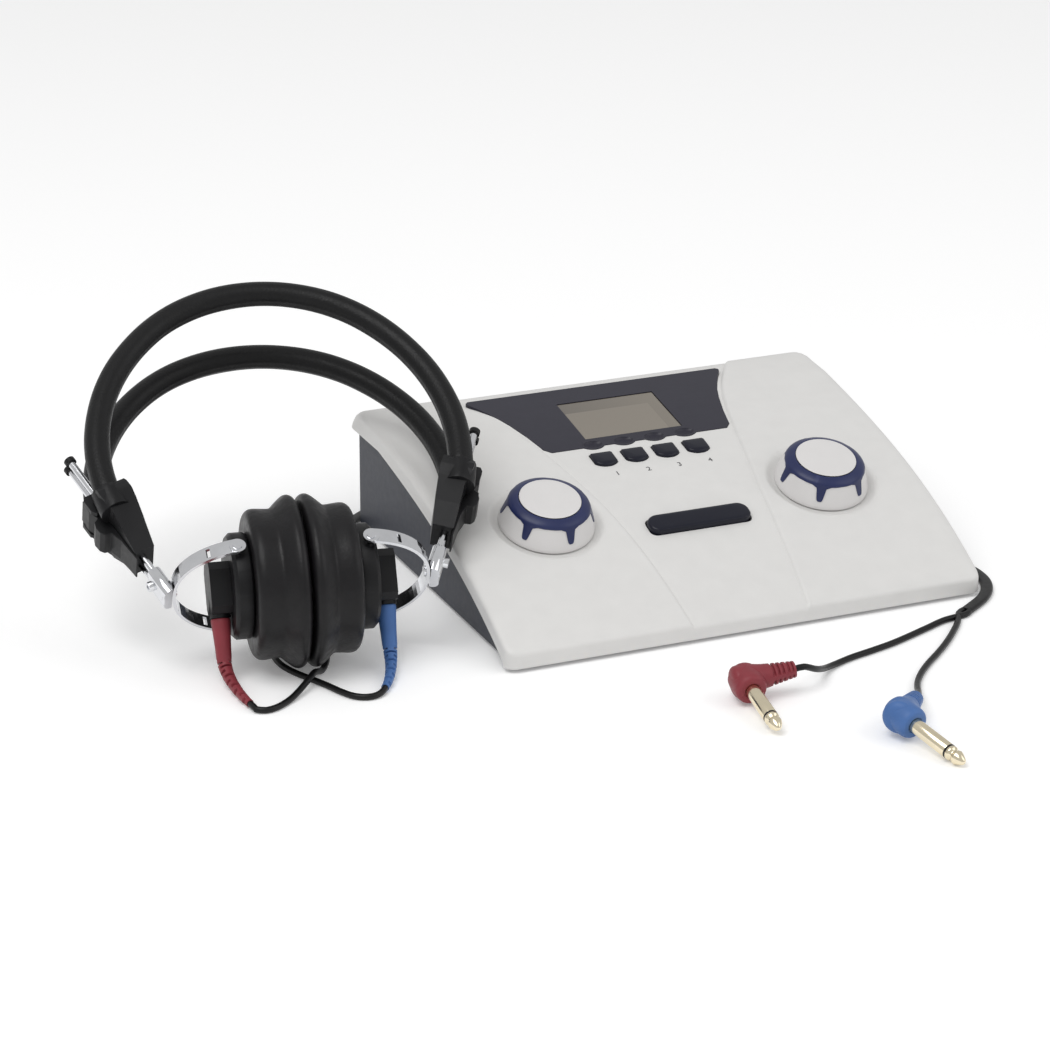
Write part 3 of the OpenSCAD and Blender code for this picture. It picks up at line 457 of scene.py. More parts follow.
for tone, paint in (("red", red_paint), ("blue", blue_paint)):
    place = plug_place(tone)
    # Z of the turned profiles runs along the shaft, which is -Y of the plug.
    along = place @ Matrix.Rotation(math.radians(90), 4, "X")
    grip = [(0, -6), (3.4, -5.9), (5, -5.4), (6.1, -4.4), (6.7, -3.2), (6.9, -1.8), (6.9, 3),
            (6.85, 6.4), (6.6, 7.6), (6.1, 8.5), (5.5, 8.95), (3.6, 9), (3.4, 8.6), (0, 8.6)]
    made = [add(f"grip_{tone}", *lathe(grip, along, 72), "unit", paint, f"plug_{tone}",
                [f"plug_{tone}"], sharp=55)]
    bent = place @ Matrix.Rotation(math.radians(plug_bend[tone]), 4, "Z")
    steps = [BOOT_FROM + (BOOT_TO - BOOT_FROM) * i / 94 for i in range(95)]
    line = [bent @ Vector((x, 0, 0)) for x in steps]
    made.append(add(f"grip_boot_{tone}", *sweep(line, plug_boot_ring), "unit", paint,
                    f"plug_{tone}", sharp=30))
    shaft = [(0, 8), (3.175, 8), (3.175, 29.6), (3.05, 29.8), (0, 29.8)]
    tip = [(0, 30.6), (3.0, 30.6), (3.17, 30.8), (3.17, 31.9), (3.0, 32.3), (2.35, 32.9), (2.2, 33.4),
           (2.35, 33.9), (2.95, 34.5), (3.05, 35), (2.9, 35.7), (2.2, 37.4), (1.3, 38.9),
           (0.7, 39.45), (0, 39.6)]
    ring = [(0, 29.7), (3.15, 29.7), (3.2, 29.8), (3.2, 30.6), (3.15, 30.7), (0, 30.7)]
    made.append(add(f"shaft_{tone}", *lathe(shaft, along, 64), "unit", gold_paint, "metal"))
    made.append(add(f"tip_{tone}", *lathe(tip, along, 64), "unit", gold_paint, "metal", sharp=60))
    made.append(add(f"insulator_{tone}", *lathe(ring, along, 64), "unit", black_paint,
                    "black_plastic"))


def twin_ring(i, t):
    """Two round leads side by side, joined by a web."""
    out = []
    for k in range(24):
        a = 2 * math.pi * (k + 0.5) / 24
        s = 1.4 * math.cos(a) + (1.4 if math.cos(a) > 0 else -1.4)
        u = 1.4 * math.sin(a)
        if abs(s) < 0.5:
            u = math.copysign(0.9, u)
        out.append((s, u))
    return out


def lead(name, line, node):
    """A single lead, a round tube swept along its line."""
    made = add(name, *sweep(line, lambda i, t: round_ring(1.4)), "unit", lead_paint, "lead", [node])
    print(name, round(length_of(line)), "mm")
    return made


twin_line = smooth_line(coil_in, 2.5)[:-1] + smooth_line(coil_path, 4) + smooth_line(coil_out, 2.5)[1:]
twin = add("lead_twin", *sweep(twin_line, twin_ring), "unit", lead_paint, "lead",
           ["lead_coil_in", "lead_coil", "lead_coil_out"], sharp=60)
print("lead_twin", round(length_of(twin_line)), "mm")
lead("lead_red_first", smooth_line(red_near, 2), "lead_red_near")
lead("lead_blue_first", smooth_line(blue_near, 2), "lead_blue_near")
lead("lead_red_last", smooth_line(red_tail, 2), "lead_red_tail")
lead("lead_blue_last", smooth_line(blue_tail, 2), "lead_blue_tail")

# %% The moulded join, in two halves that swell in the middle
join_line = smooth_line(
    [joint_a + (joint_b - joint_a) * t + Vector((0, 0, 0.3)) for t in (0, 0.25, 0.5, 0.75, 1)], 0.6
)


def join_ring(i, t):
    """A rounded flat section, wider at the single leads' end."""
    w, h = 3.2 + 0.6 * math.sin(math.pi * t) - 0.3 * t, 1.35 + 0.4 * math.sin(math.pi * t) ** 0.5
    return [
        (w * math.copysign(abs(math.cos(a)) ** 0.7, math.cos(a)),
         h * math.copysign(abs(math.sin(a)) ** 0.7, math.sin(a)))
        for a in (2 * math.pi * (k + 0.5) / 24 for k in range(24))
    ]


bevel(add("join", *sweep(join_line, join_ring), "unit", rubber_paint, "lead", ["lead_joint"]), 0.3)

# %% [markdown]
# ## The unit

# %% The top curve, the same as the casing's in the CAD source
TOP = (8, 46.2, 52.7, 63.9)
KNOB_Y = -27.6
ZONE = [(-96, 28), (-54, 33.4), (-26, 37.6), (24, 48.3), (36, 51.4), (48, 55.2), (57, 58.9),
        (66, 63.6), (74, 68.4), (96, 82)]


def top_z(y):
    """Height of the top surface in the middle zone."""
    t = y / 190 + 0.5
    q = 1 - t
    return TOP[0] * q**3 + 3 * TOP[1] * t * q * q + 3 * TOP[2] * t * t * q + TOP[3] * t**3


def on_top(x, y):
    """A place on the top surface, with Z along its normal."""
    lean = math.atan(top_z(y + 0.5) - top_z(y - 0.5))
    return Matrix.Translation((x, y, top_z(y))) @ Matrix.Rotation(lean, 4, "X")


def key_x(i):
    """X of a key's axis."""
    return (i - 1.5) * 15.4


def zone_half(y):
    """Half the width of the middle zone."""
    for (y0, x0), (y1, x1) in zip(ZONE, ZONE[1:]):
        if y <= y1:
            return x0 + (x1 - x0) * max(0, (y - y0) / (y1 - y0))
    return ZONE[-1][1]


# %% [markdown]
# The shell is moulded in one, with shallow steps where its side zones meet the middle one. A
# grid that follows the top curve gives the steps, and a Solidify modifier gives the wall.

# %% Top shell: one smooth skin with a soft step between its zones, then its openings
def skin_row_line(rise, pull):
    """Side view of the skin from the front's foot, over the top, to the rear's foot."""
    front = pull - 95
    y1 = front + 1.455
    centre = (front + 3, top_z(y1) + rise - 2.571)
    out = [(front, 2), (front, 0.5 * (2 + centre[1]))]
    out += [
        (centre[0] + 3 * math.cos(math.radians(a)), centre[1] + 3 * math.sin(math.radians(a)))
        for a in range(180, 120, -10)
    ]
    out += [(y, top_z(y) + rise) for y in (y1 + (58 - y1) * i / 64 for i in range(1, 65))]
    out += [(y, top_z(58) + rise + (y - 58) * 0.081) for y in (65, 72)]
    last = math.asin((50 - 43.3 - rise) / 16)
    turns = (math.pi / 2 + (last - math.pi / 2) * k / 9 for k in range(10))
    return out + [(79 - pull + 16 * math.cos(a), 43.3 + rise + 16 * math.sin(a)) for a in turns]


def lip_under(y):
    """Height of the underside of the shell's side lip."""
    return min(50, max(2, top_z(y) - 7.2))


edge = [90, 70, 50, 30, 12, 0]
lines = [
    skin_row_line(1 - 2.2 * (1 - math.sin(math.radians(a))), 5 * (1 - math.sin(math.radians(a))))
    for a in edge
]
edge_x = [115 - 5 * (1 - math.cos(math.radians(a))) for a in edge]
SEAM = [-2.2, -1.3, -0.9, -0.5, 0, 0.5, 0.9, 1.3, 2.2]


def shell_row(j):
    """One row of the skin, from the left lip to the right one."""
    y, z = lines[0][j]
    half = zone_half(y)
    inner = [half * k / 12 for k in range(12)] + [half + s for s in SEAM]
    outer = [half + 2.2 + (edge_x[0] - half - 2.2) * k / 14 for k in range(1, 14)]
    row = []
    for x in inner + outer:
        sink = 1 - ease((x - half + 1.3) / 2.6)
        groove = 0.35 * math.exp(-(((x - half + 0.6) / 0.5) ** 2))
        row.append((x, y, z - (sink + groove) * (z > 5)))
    for x, line in zip(edge_x, lines):
        row.append((x, *line[j]))
    y, z = lines[-1][j]
    low_y = max(y, -90 + 0.2 * j) if j < 8 else y
    low_z = min(z, lip_under(low_y))
    for k in (0.5, 1):
        row.append((115, y + (low_y - y) * k, z + (low_z - z) * k))
    return [(-x, y, z) for x, y, z in reversed(row[1:])] + row


rows = [shell_row(j) for j in range(len(lines[0]))]
wide = len(rows[0])
points = [p for row in rows for p in row]
faces = [
    (i * wide + k, i * wide + k + 1, (i + 1) * wide + k + 1, (i + 1) * wide + k)
    for i in range(len(rows) - 1)
    for k in range(wide - 1)
]
shell = add("shell", points, faces, "unit", shell_paint, "shell", ["top_shell"])
if shell.data.polygons[len(faces) // 2].normal.z < 0:
    shell.data.flip_normals()


def prism(plan, place, low, high):
    """A block over a plan of (x, y) points."""
    n = len(plan)
    points = [place @ Vector((x, y, z)) for z in (low, high) for x, y in plan]
    faces = [tuple(range(n - 1, -1, -1)), tuple(range(n, 2 * n))]
    return points, faces + [(k, (k + 1) % n, n + (k + 1) % n, n + k) for k in range(n)]


def rounded(w, d, r, n=8, x0=0, y0=0):
    """Plan of a rectangle with round corners."""
    return [
        (x0 + sx * (w / 2 - r) + r * math.cos(math.radians(a + 90 * k / n)),
         y0 + sy * (d / 2 - r) + r * math.sin(math.radians(a + 90 * k / n)))
        for sx, sy, a in ((1, 1, 0), (-1, 1, 90), (-1, -1, 180), (1, -1, 270))
        for k in range(n + 1)
    ]


def circle(r, n=64):
    """Plan of a circle."""
    return [(r * math.cos(2 * math.pi * k / n), r * math.sin(2 * math.pi * k / n)) for k in range(n)]


def key_plan(e):
    """Plan of a key: straight at the rear and round at the front."""
    out = [(5.5 + e, 5.2 + e - 0.8), (4.9 + e, 5.2 + e), (-4.9 - e, 5.2 + e), (-5.5 - e, 4.4 + e)]
    turn = math.degrees(math.acos((5.5 + e) / (6.9 + e)))
    for k in range(17):
        a = math.radians(180 + turn + (180 - 2 * turn) * k / 16)
        x, y = (6.9 + e) * math.cos(a), 1.6 + (6.9 + e) * math.sin(a)
        out.append((x, max(y, -5.2 - e)))
    return out


PANEL_SIDE = [(44, 21), (46.8, 24), (49.5, 36), (53, 48), (55.6, 55), (58.5, 61), (61.5, 66.5),
              (64.4, 71), (64.9, 72.8), (63.6, 74)]


def panel_plan(e):
    """Plan of the display panel, with a round lobe behind each key."""
    right = [(x + e, y + (-e if y < 22 else e if y > 73 else 0)) for x, y in PANEL_SIDE]
    lobes = []
    for i in range(4):
        lobe = 7.2 + e
        wide = math.sqrt(lobe**2 - (5 + e) ** 2)
        a0 = math.degrees(math.atan2(-5 - e, -wide)) % 360
        a1 = math.degrees(math.atan2(-5 - e, wide)) % 360
        lobes += [
            (key_x(i) + lobe * math.cos(math.radians(a0 + (a1 - a0) * k / 12)),
             26 + lobe * math.sin(math.radians(a0 + (a1 - a0) * k / 12)))
            for k in range(13)
        ]
    return [*lobes, *right, *((-x, y) for x, y in reversed(right))]


def cut(piece, tools):
    """Cuts blocks out of a piece for good, and removes them."""
    blocks = []
    for i, (points, faces) in enumerate(tools):
        mesh = bpy.data.meshes.new(f"tool_{i}")
        mesh.from_pydata([tuple(c * MM for c in p) for p in points], [], faces)
        bm = bmesh.new()
        bm.from_mesh(mesh)
        bmesh.ops.recalc_face_normals(bm, faces=bm.faces)
        bm.to_mesh(mesh)
        bm.free()
        block = bpy.data.objects.new(f"tool_{i}", mesh)
        bpy.context.scene.collection.objects.link(block)
        mod = piece.modifiers.new(f"cut_{i}", "BOOLEAN")
        mod.object = block
        mod.operation = "DIFFERENCE"
        mod.solver = "EXACT"
        mod.use_hole_tolerant = True
        blocks.append(block)
    bake(piece)
    for block in blocks:
        bpy.data.objects.remove(block)


def bake(piece, sharp=35):
    """Turns a piece's modifiers into its mesh."""
    graph = bpy.context.evaluated_depsgraph_get()
    mesh = bpy.data.meshes.new_from_object(piece.evaluated_get(graph))
    piece.modifiers.clear()
    piece.data = mesh
    mesh.shade_smooth()
    mesh.set_sharp_from_angle(angle=math.radians(sharp))


UPRIGHT = Matrix.Identity(4)
thick = shell.modifiers.new("wall", "SOLIDIFY")
thick.thickness = 2.4 * MM
thick.offset = -1
bake(shell)
low = min((p.co.z for p in shell.data.vertices)) / MM
print("shell:", len(shell.data.polygons), "faces, lowest point", round(low, 2))
tools = [
    prism(panel_plan(0.15), UPRIGHT, 20, 80),
    *(prism(key_plan(0.3), on_top(key_x(i), 9.7), -10, 20) for i in range(4)),
    prism(rounded(50.1, 11.1, 3.3), on_top(0, -41), -10, 20),
]
for s in (-1, 1):
    tools.append(prism(circle(26.5, 96), on_top(s * 68, -27.6), -10, 20))
cut(shell, tools)

# %% The dish round each knob, with a soft fillet up to the shell
DISH = [(4.7, -2.6), (4.7, -1.3)]
DISH += [(21.7 + 0.48 * k, -1.3 + 2.28 * ease(k / 10)) for k in range(11)]
DISH += [(26.75, 0.6), (26.9, -1.4), (26.9, -2.6), (4.7, -2.6)]


def follow_top(r, h, a):
    """Lifts or lowers the dish's rim to the curved top surface."""
    y = r * math.sin(a)
    lean = math.atan(top_z(KNOB_Y + 0.5) - top_z(KNOB_Y - 0.5))
    far = top_z(KNOB_Y + y * math.cos(lean)) - top_z(KNOB_Y) - y * math.sin(lean)
    return r, h + far / math.cos(lean) * ease((r - 21.6) / 4.9)


for name, s in (("left", -1), ("right", 1)):
    add(f"dish_{name}", *lathe(DISH, on_top(s * 68, KNOB_Y), 128, follow_top), "unit",
        shell_paint, "shell", sharp=50)


# %% A sheet that follows the top surface: the display panel
def sheet_on_top(name, plan, low, high, body, paint, replaces=(), holes=()):
    """A plate over a plan, bent to the top curve, between two heights above it."""
    mesh = bpy.data.meshes.new(name)
    bm = bmesh.new()
    bm.faces.new([bm.verts.new((x, y, 0)) for x, y in plan])
    ys = [p[1] for p in plan]
    y = math.ceil(min(ys) / 2) * 2
    while y < max(ys):
        bmesh.ops.bisect_plane(bm, geom=bm.verts[:] + bm.edges[:] + bm.faces[:],
                               plane_co=(0, y, 0), plane_no=(0, 1, 0))
        y += 2
    top = bm.faces[:]
    made = bmesh.ops.extrude_face_region(bm, geom=top)
    lifted = {v for v in made["geom"] if isinstance(v, bmesh.types.BMVert)}
    for v in bm.verts:
        v.co.z = top_z(v.co.y) + (high if v in lifted else low)
    bmesh.ops.recalc_face_normals(bm, faces=bm.faces)
    bmesh.ops.scale(bm, vec=(MM, MM, MM), verts=bm.verts)
    bm.to_mesh(mesh)
    bm.free()
    piece = settle(name, mesh, body, paint, replaces)
    if holes:
        cut(piece, holes)
    return piece


window = on_top(0, 44.4)
dimples = []
for i in range(4):
    place = on_top(key_x(i), 22.8)
    ball = lathe([(0, -1.1), (1.6, -1.04), (3.1, -0.75), (4.3, -0.25), (4.9, 0.3), (4.9, 3), (0, 3)],
                 place @ Matrix.Diagonal((1, 0.6, 1, 1)), 48)
    dimples.append(ball)
panel = sheet_on_top("panel", panel_plan(0), -1.6, 0.25, "unit", panel_paint,
                     ["display_panel"],
                     [prism(rounded(48.8, 33.8, 0.4), window, -10, 10), *dimples])
print("panel:", len(panel.data.polygons), "faces")


# %% [markdown]
# The window shows a grey-brown screen, set below its frame. A real pane of glass over it would
# need many rays to look the same, so one glossy pane carries the screen's tones in its own
# material, with painted shadow of the frame in bands along the screen's top and right.

# %% Display window: a glossy pane in the pale screen's tones, with painted frame shadow at top and right
def lcd_material():
    """Grey-brown glass, lighter towards the right, with painted frame shadow in bands at top and right.
    """
    mat = material("lcd", (112, 104, 94), 0.12, grain=0.4, bump=0.0, vary=0.02, coat=0.6)
    nodes, links = mat.node_tree.nodes, mat.node_tree.links
    shader = nodes["Principled BSDF"]
    where = nodes.new("ShaderNodeTexCoord")
    split = nodes.new("ShaderNodeSeparateXYZ")
    links.new(where.outputs["Object"], split.inputs["Vector"])

    def ramp(source, low, high, a, b):
        node = nodes.new("ShaderNodeMapRange")
        for key, value in (("From Min", low), ("From Max", high), ("To Min", a), ("To Max", b)):
            node.inputs[key].default_value = value
        links.new(source, node.inputs["Value"])
        return node.outputs["Result"]

    def times(a, b):
        node = nodes.new("ShaderNodeMath")
        node.operation = "MULTIPLY"
        links.new(a, node.inputs[0])
        links.new(b, node.inputs[1])
        return node.outputs["Value"]

    x, y = split.outputs["X"], split.outputs["Y"]
    # Painted shadow: past x 18 mm or y 52 mm the screen keeps its darker tone, as the frame's shade on
    # the recessed screen.
    inside = times(ramp(x, 0.0179, 0.0182, 1, 0), ramp(y, 0.0518, 0.0522, 1, 0))
    tone = nodes.new("ShaderNodeMix")
    tone.data_type = "RGBA"
    tone.inputs[6].default_value = rgb(98, 91, 82)
    tone.inputs[7].default_value = rgb(122, 114, 102)
    links.new(ramp(x, -0.024, 0.03, 0, 1), tone.inputs[0])
    # Clear of the painted shadow, a paler screen colour is mixed in, with less of it towards the rear.
    light = nodes.new("ShaderNodeMix")
    light.data_type = "RGBA"
    light.inputs[7].default_value = rgb(128, 120, 108)
    links.new(tone.outputs[2], light.inputs[6])
    links.new(times(inside, ramp(y, 0.02, 0.06, 0.95, 0.75)), light.inputs[0])
    links.new(light.outputs[2], shader.inputs["Base Color"])
    return mat


lcd_paint = lcd_material()
lens_points, lens_faces = prism(rounded(48.6, 33.6, 0.5), window, -1.2, -0.2)
lens = add("window", lens_points, lens_faces, "unit", lcd_paint, "lens", ["display_lens"])
bevel(lens, 0.2)

# %% [markdown]
# The keys are named by plain numbers in ink. Each is a filled text made into a mesh, because
# a printed word has an edge that a picture on the shell would blur.

# %% Key numbers, printed on the shell in front of each key
for i in range(4):
    words = bpy.data.curves.new(f"number_{i + 1}", "FONT")
    words.body = str(i + 1)
    words.size = 4.2
    words.align_x = "CENTER"
    words.align_y = "CENTER"
    words.extrude = 0.03
    text = bpy.data.objects.new(f"text_{i + 1}", words)
    bpy.context.scene.collection.objects.link(text)
    graph = bpy.context.evaluated_depsgraph_get()
    mesh = bpy.data.meshes.new_from_object(text.evaluated_get(graph))
    mesh.transform(Matrix.Scale(MM, 4) @ on_top(key_x(i) + 1.5, -1.8) @ Matrix.Translation((0, 0, 0.05)))
    bpy.data.objects.remove(text)
    bm = bmesh.new()
    bm.from_mesh(mesh)
    bmesh.ops.remove_doubles(bm, verts=bm.verts, dist=1e-6)
    bm.to_mesh(mesh)
    bm.free()
    settle(f"number_{i + 1}", mesh, "unit", ink_paint)


# %% [markdown]
# Each key is a hard pad with a soft crown. Rings drawn in from its plan give the rounded edge
# and the crown, which a bevel would pinch at the corners of the half-round.

# %% Keys: half-round pads with a soft crown
def crowned(plan, place, low, high, crown, inset, rings=4):
    """Points and faces of a plan raised to a softly rounded, slightly crowned top."""
    cx = sum(p[0] for p in plan) / len(plan)
    cy = sum(p[1] for p in plan) / len(plan)
    size = max(math.hypot(x - cx, y - cy) for x, y in plan)
    levels = [(0, low), (0, high - inset)]
    levels += [
        (inset * (1 - math.cos(math.radians(a))), high - inset + inset * math.sin(math.radians(a)))
        for a in (22, 45, 67, 90)
    ]
    n = len(plan)
    points = []
    for pull, z in levels:
        for x, y in plan:
            k = 1 - pull / math.hypot(x - cx, y - cy)
            points.append(place @ Vector((cx + (x - cx) * k, cy + (y - cy) * k, z)))
    for ring in range(1, rings):
        k = 1 - ring / rings
        for x, y in plan:
            k0 = (1 - inset / math.hypot(x - cx, y - cy)) * k
            points.append(
                place @ Vector((cx + (x - cx) * k0, cy + (y - cy) * k0, high + crown * (1 - k * k)))
            )
    points.append(place @ Vector((cx, cy, high + crown)))
    faces = [
        (i * n + k, i * n + (k + 1) % n, (i + 1) * n + (k + 1) % n, (i + 1) * n + k)
        for i in range(len(levels) + rings - 2)
        for k in range(n)
    ]
    last = (len(levels) + rings - 2) * n
    faces += [(last + k, last + (k + 1) % n, len(points) - 1) for k in range(n)]
    return points, [*faces, tuple(range(n - 1, -1, -1))]


for i in range(4):
    add(f"key_pad_{i + 1}", *crowned(key_plan(0), on_top(key_x(i), 9.7), -5, 1.35, 0.3, 1.1),
        f"key_{i + 1}", key_paint, "key", [f"key_{i + 1}"], sharp=50)
add("tone_pad", *crowned(rounded(49.5, 10.5, 4.6, 10), on_top(0, -41), -5, 2.75, 0.15, 1.3),
    "tone_bar", key_paint, "key", ["tone_bar"], sharp=50)


# %% [markdown]
# A knob is a white cap over a navy core whose legs show through the skirt. The crown's lower
# edge follows a wave round the knob, which is quicker to tune than legs cut out one by one.

# %% Knobs: a white skirt and cap, and a navy crown whose legs reach down the skirt
def cone_r(z):
    """Radius of the knob's skirt at a height."""
    return 21.3 + (17.9 - 21.3) * (z - 1.2) / (10.7 - 1.2)


def crown_low(a, turn):
    """Height of the crown's lower edge at an angle: a round tip on each leg, webs between."""
    pitch = 2 * math.pi / 6
    off = abs((a - turn + pitch / 2) % pitch - pitch / 2) * 19.5
    if off < 2.5:
        tip = 3.1 + max(0, off - 0.7) * 0.9
        return tip + (9.1 - 3.1 - 1.62) * ease((off - 0.95) / 1.55) ** 1.2
    return 9.1 + 0.75 * ease((off - 2.5) / 2.4)


def knob(side_name, s, turn):
    """The three pieces of a knob."""
    place = on_top(s * 68, -27.6)
    skirt = [(15.2, 2.2), (19.6, -0.6), (21.0, -0.8), (21.45, -0.55), (21.55, 0), (21.3, 1.2)]
    skirt += [(cone_r(z), z) for z in (2.5, 4, 5.5, 7, 8.5, 9.6)]
    skirt += [(17.95, 10.3), (17.5, 10.6), (15.2, 10.6), (15.2, 2.2)]
    body = f"knob_{side_name}"
    add(f"{body}_skirt", *lathe(skirt, place, 128), body, cap_paint, "shell", [f"{body}_skin"])
    cap = [(0, 12.7), (13.4, 12.7), (13.7, 12.85), (13.8, 13.05), (13.6, 13.22), (13, 13.3)]
    cap += [(r, 13.3 + 0.0004 * (169 - r * r)) for r in (10, 7, 4, 0)]
    add(f"{body}_cap", *lathe(cap, place, 96), body, cap_paint, "shell")
    angles = []
    for i in range(6):
        centre = math.radians(turn + i * 60)
        angles += [centre + w / 19.5 for w in
                   (-8, -6.2, -4.8, -3.8, -3.1, -2.7, -2.4, -2.1, -1.8, -1.5, -1.2, -0.9, -0.6, -0.3, 0,
                    0.3, 0.6, 0.9, 1.2, 1.5, 1.8, 2.1, 2.4, 2.7, 3.1, 3.8, 4.8, 6.2, 8)]
    points, faces = [], []
    for a in angles:
        z0 = crown_low(a, math.radians(turn))
        column = [(cone_r(z0) - 0.35, z0), (cone_r(z0) + 0.15, z0), (cone_r(z0) + 0.3, z0 + 0.2)]
        for k in range(1, 8):
            z = z0 + 0.2 + (10.35 - z0 - 0.2) * k / 7
            column.append((cone_r(z) + 0.3, z))
        column += [(18.1, 10.75), (17.7, 11.25), (16.6, 11.9), (15.4, 12.45), (14.6, 12.75),
                   (14.2, 12.8), (14.0, 12.7), (13.95, 12.2), (13.95, 10.65), (17.2, 10.62),
                   (17.2, 10.4), (cone_r(10.1) - 0.35, 10.1)]
        column += [(cone_r(z) - 0.35, z) for z in (z0 + (10.1 - z0) * k / 3 for k in (2, 1))]
        points += [place @ Vector((r * math.cos(a), r * math.sin(a), z)) for r, z in column]
    n, m = len(column), len(angles)
    for i in range(m):
        for k in range(n):
            faces.append((i * n + k, (i + 1) % m * n + k, (i + 1) % m * n + (k + 1) % n,
                          i * n + (k + 1) % n))
    add(f"{body}_crown", points, faces, body, navy_paint, "navy", [f"{body}_core"], sharp=40)
    dress(f"{body}_shaft", steel_paint)


knob("left", -1, 38)
knob("right", 1, 0)

# %% [markdown]
# ## The headset

# %% Band pads: vinyl sleeves over foam, with a soft seam on the inside of the bow
T = math.radians(47.8)


def band_line(foot, steps=96):
    """The band's centreline in its own plane, from the left foot over the top to the right."""
    f = math.radians(foot)
    right_half = []
    total = 90.9 * (T - f) + 72 * (math.pi / 2 - T)
    for i in range(steps // 2 + 1):
        d = total * i / (steps // 2)
        if d < 90.9 * (T - f):
            a = f + d / 90.9
            right_half.append((-18.9 * math.cos(T) + 90.9 * math.cos(a), 82.2 + 90.9 * math.sin(a), a))
        else:
            a = T + (d - 90.9 * (T - f)) / 72
            right_half.append((72 * math.cos(a), 82.2 + 18.9 * math.sin(T) + 72 * math.sin(a), a))
    return right_half + [(-x, y, math.pi - a) for x, y, a in reversed(right_half[:-1])]


def band_place(s):
    """The plane of a band."""
    return HS @ Matrix.Translation((0, -18, s * 7.5)) @ Matrix.Rotation(math.radians(4.4 * s), 4, "X")


def band_tube(line, place, radius, sides, seam=0.0, soft=0.0, ends=True):
    """A tube round a band's line, with an optional seam on the inside of the bow."""
    points, faces = [], []
    m = len(line)
    for i, (x, y, a) in enumerate(line):
        out = Vector((math.cos(a), math.sin(a), 0))
        end = min(i, m - 1 - i)
        fit = (0.55, 0.85, 0.97)[end] if ends and end < 3 else 1
        for k in range(sides):
            b = 2 * math.pi * k / sides
            r = radius * fit
            r -= seam * math.exp(-(((b - math.pi) / 0.09) ** 2))
            r += seam * 0.5 * (math.exp(-(((b - math.pi + 0.25) / 0.12) ** 2))
                               + math.exp(-(((b - math.pi - 0.25) / 0.12) ** 2)))
            p = Vector((x, y, 0)) + out * (r * math.cos(b)) + Vector((0, 0, r * math.sin(b)))
            if soft:
                p += (p - Vector((x, y, 0))).normalized() * soft * noise.noise(p * 0.05)
            points.append(place @ p)
    for i in range(m - 1):
        for k in range(sides):
            a, b = i * sides + k, i * sides + (k + 1) % sides
            faces.append((a, b, b + sides, a + sides))
    faces.append(tuple(range(sides - 1, -1, -1)))
    faces.append(tuple(range((m - 1) * sides, m * sides)))
    return points, faces


for name, s, foot in (("front", 1, -12.8), ("rear", -1, -6.4)):
    pad = add(f"pad_{name}", *band_tube(band_line(foot, 160), band_place(s), 5.5, 40, 0.25, 0.12),
              "unit", leather_paint, "leather", [f"band_pad_{name}"], sharp=60)
    dress(f"band_spring_{name}", chrome_paint)

# %% [markdown]
# A cushion is one moulding of soft rubber. Its profile is turned, with slight waves at the rim,
# and one level of subdivision takes the last facets away.

# %% Ear cushions: moulded rubber, flared to a soft rim and drawn in to a round body
RIM = [
    (11, 10.8), (11, 7.5), (11.6, 5.4), (13.2, 3.2), (16, 1.5), (20, 0.7), (25, 0.45), (31, 0.4),
    (33.6, 0.5), (35.2, 0.9), (36.4, 1.9), (37, 3.3), (36.9, 4.6), (36.1, 6), (35, 7.3), (33.9, 8.6),
    (33, 9.6), (32.2, 10.4), (31.7, 11.2), (31.6, 12), (31.65, 13.5), (31.85, 15.5), (32.05, 17.5),
    (32.1, 18.8), (31.9, 20), (31.4, 21), (30.6, 21.8), (29.6, 22.35), (28.4, 22.55), (24, 22.55),
    (20.2, 22.5), (19.35, 22.2), (19.1, 21.4), (19.1, 12.9), (17.1, 10.8), (11, 10.8),
]
TURN_X = Matrix(((0, 0, 1, 0), (1, 0, 0, 0), (0, 1, 0, 0), (0, 0, 0, 1)))


def settled(r, h, a):
    """The rubber's slight waves, largest at the rim."""
    if r < 26 or h > 21:
        return r, h
    w = noise.noise(Vector((math.cos(a) * 2.2, math.sin(a) * 2.2, h * 0.12)))
    ripple = noise.noise(Vector((math.cos(a) * 5, math.sin(a) * 5, h * 0.6 + 7)))
    return r + 0.12 * w + 0.05 * ripple - 0.1, h + 0.1 * w


for name, s in (("left", -1), ("right", 1)):
    made = add(f"ear_{name}", *lathe(RIM, side(s) @ TURN_X, 144, settled), f"cup_{name}",
               rubber_paint, "cushion", [f"cushion_{name}"], sharp=60)
    sub = made.modifiers.new("smooth", "SUBSURF")
    sub.levels = sub.render_levels = 1

# %% [markdown]
# A boot keeps a lead from bending sharply. Its ribs are gaps bridged on two sides in turn, so
# a ring that changes along the curve makes them without any cutting.

# %% Sleeves and ribbed boots of the headset's leads
SOCKET_X = 35.4


def bezier(a, b, c, d, n):
    """Points of a cubic curve."""
    return [
        a * (1 - t) ** 3 + b * (3 * (1 - t) ** 2 * t) + c * (3 * (1 - t) * t * t) + d * t**3
        for t in (i / n for i in range(n + 1))
    ]


def boot_ring(i, t):
    """A rib, or a gap bridged on two sides in turn, of a boot that tapers to the lead."""
    r = 3.15 - 1.45 * t
    rib = t * 9.5
    gap = 0.06 < t < 0.95 and (rib % 1) > 0.58
    out = []
    for k in range(28):
        a = 2 * math.pi * k / 28
        bridge = abs(math.sin(a + (math.pi / 2 if int(rib) % 2 else 0))) > 0.9
        here = r * 0.55 if gap and not bridge else r
        out.append((here * math.cos(a), here * math.sin(a)))
    return out


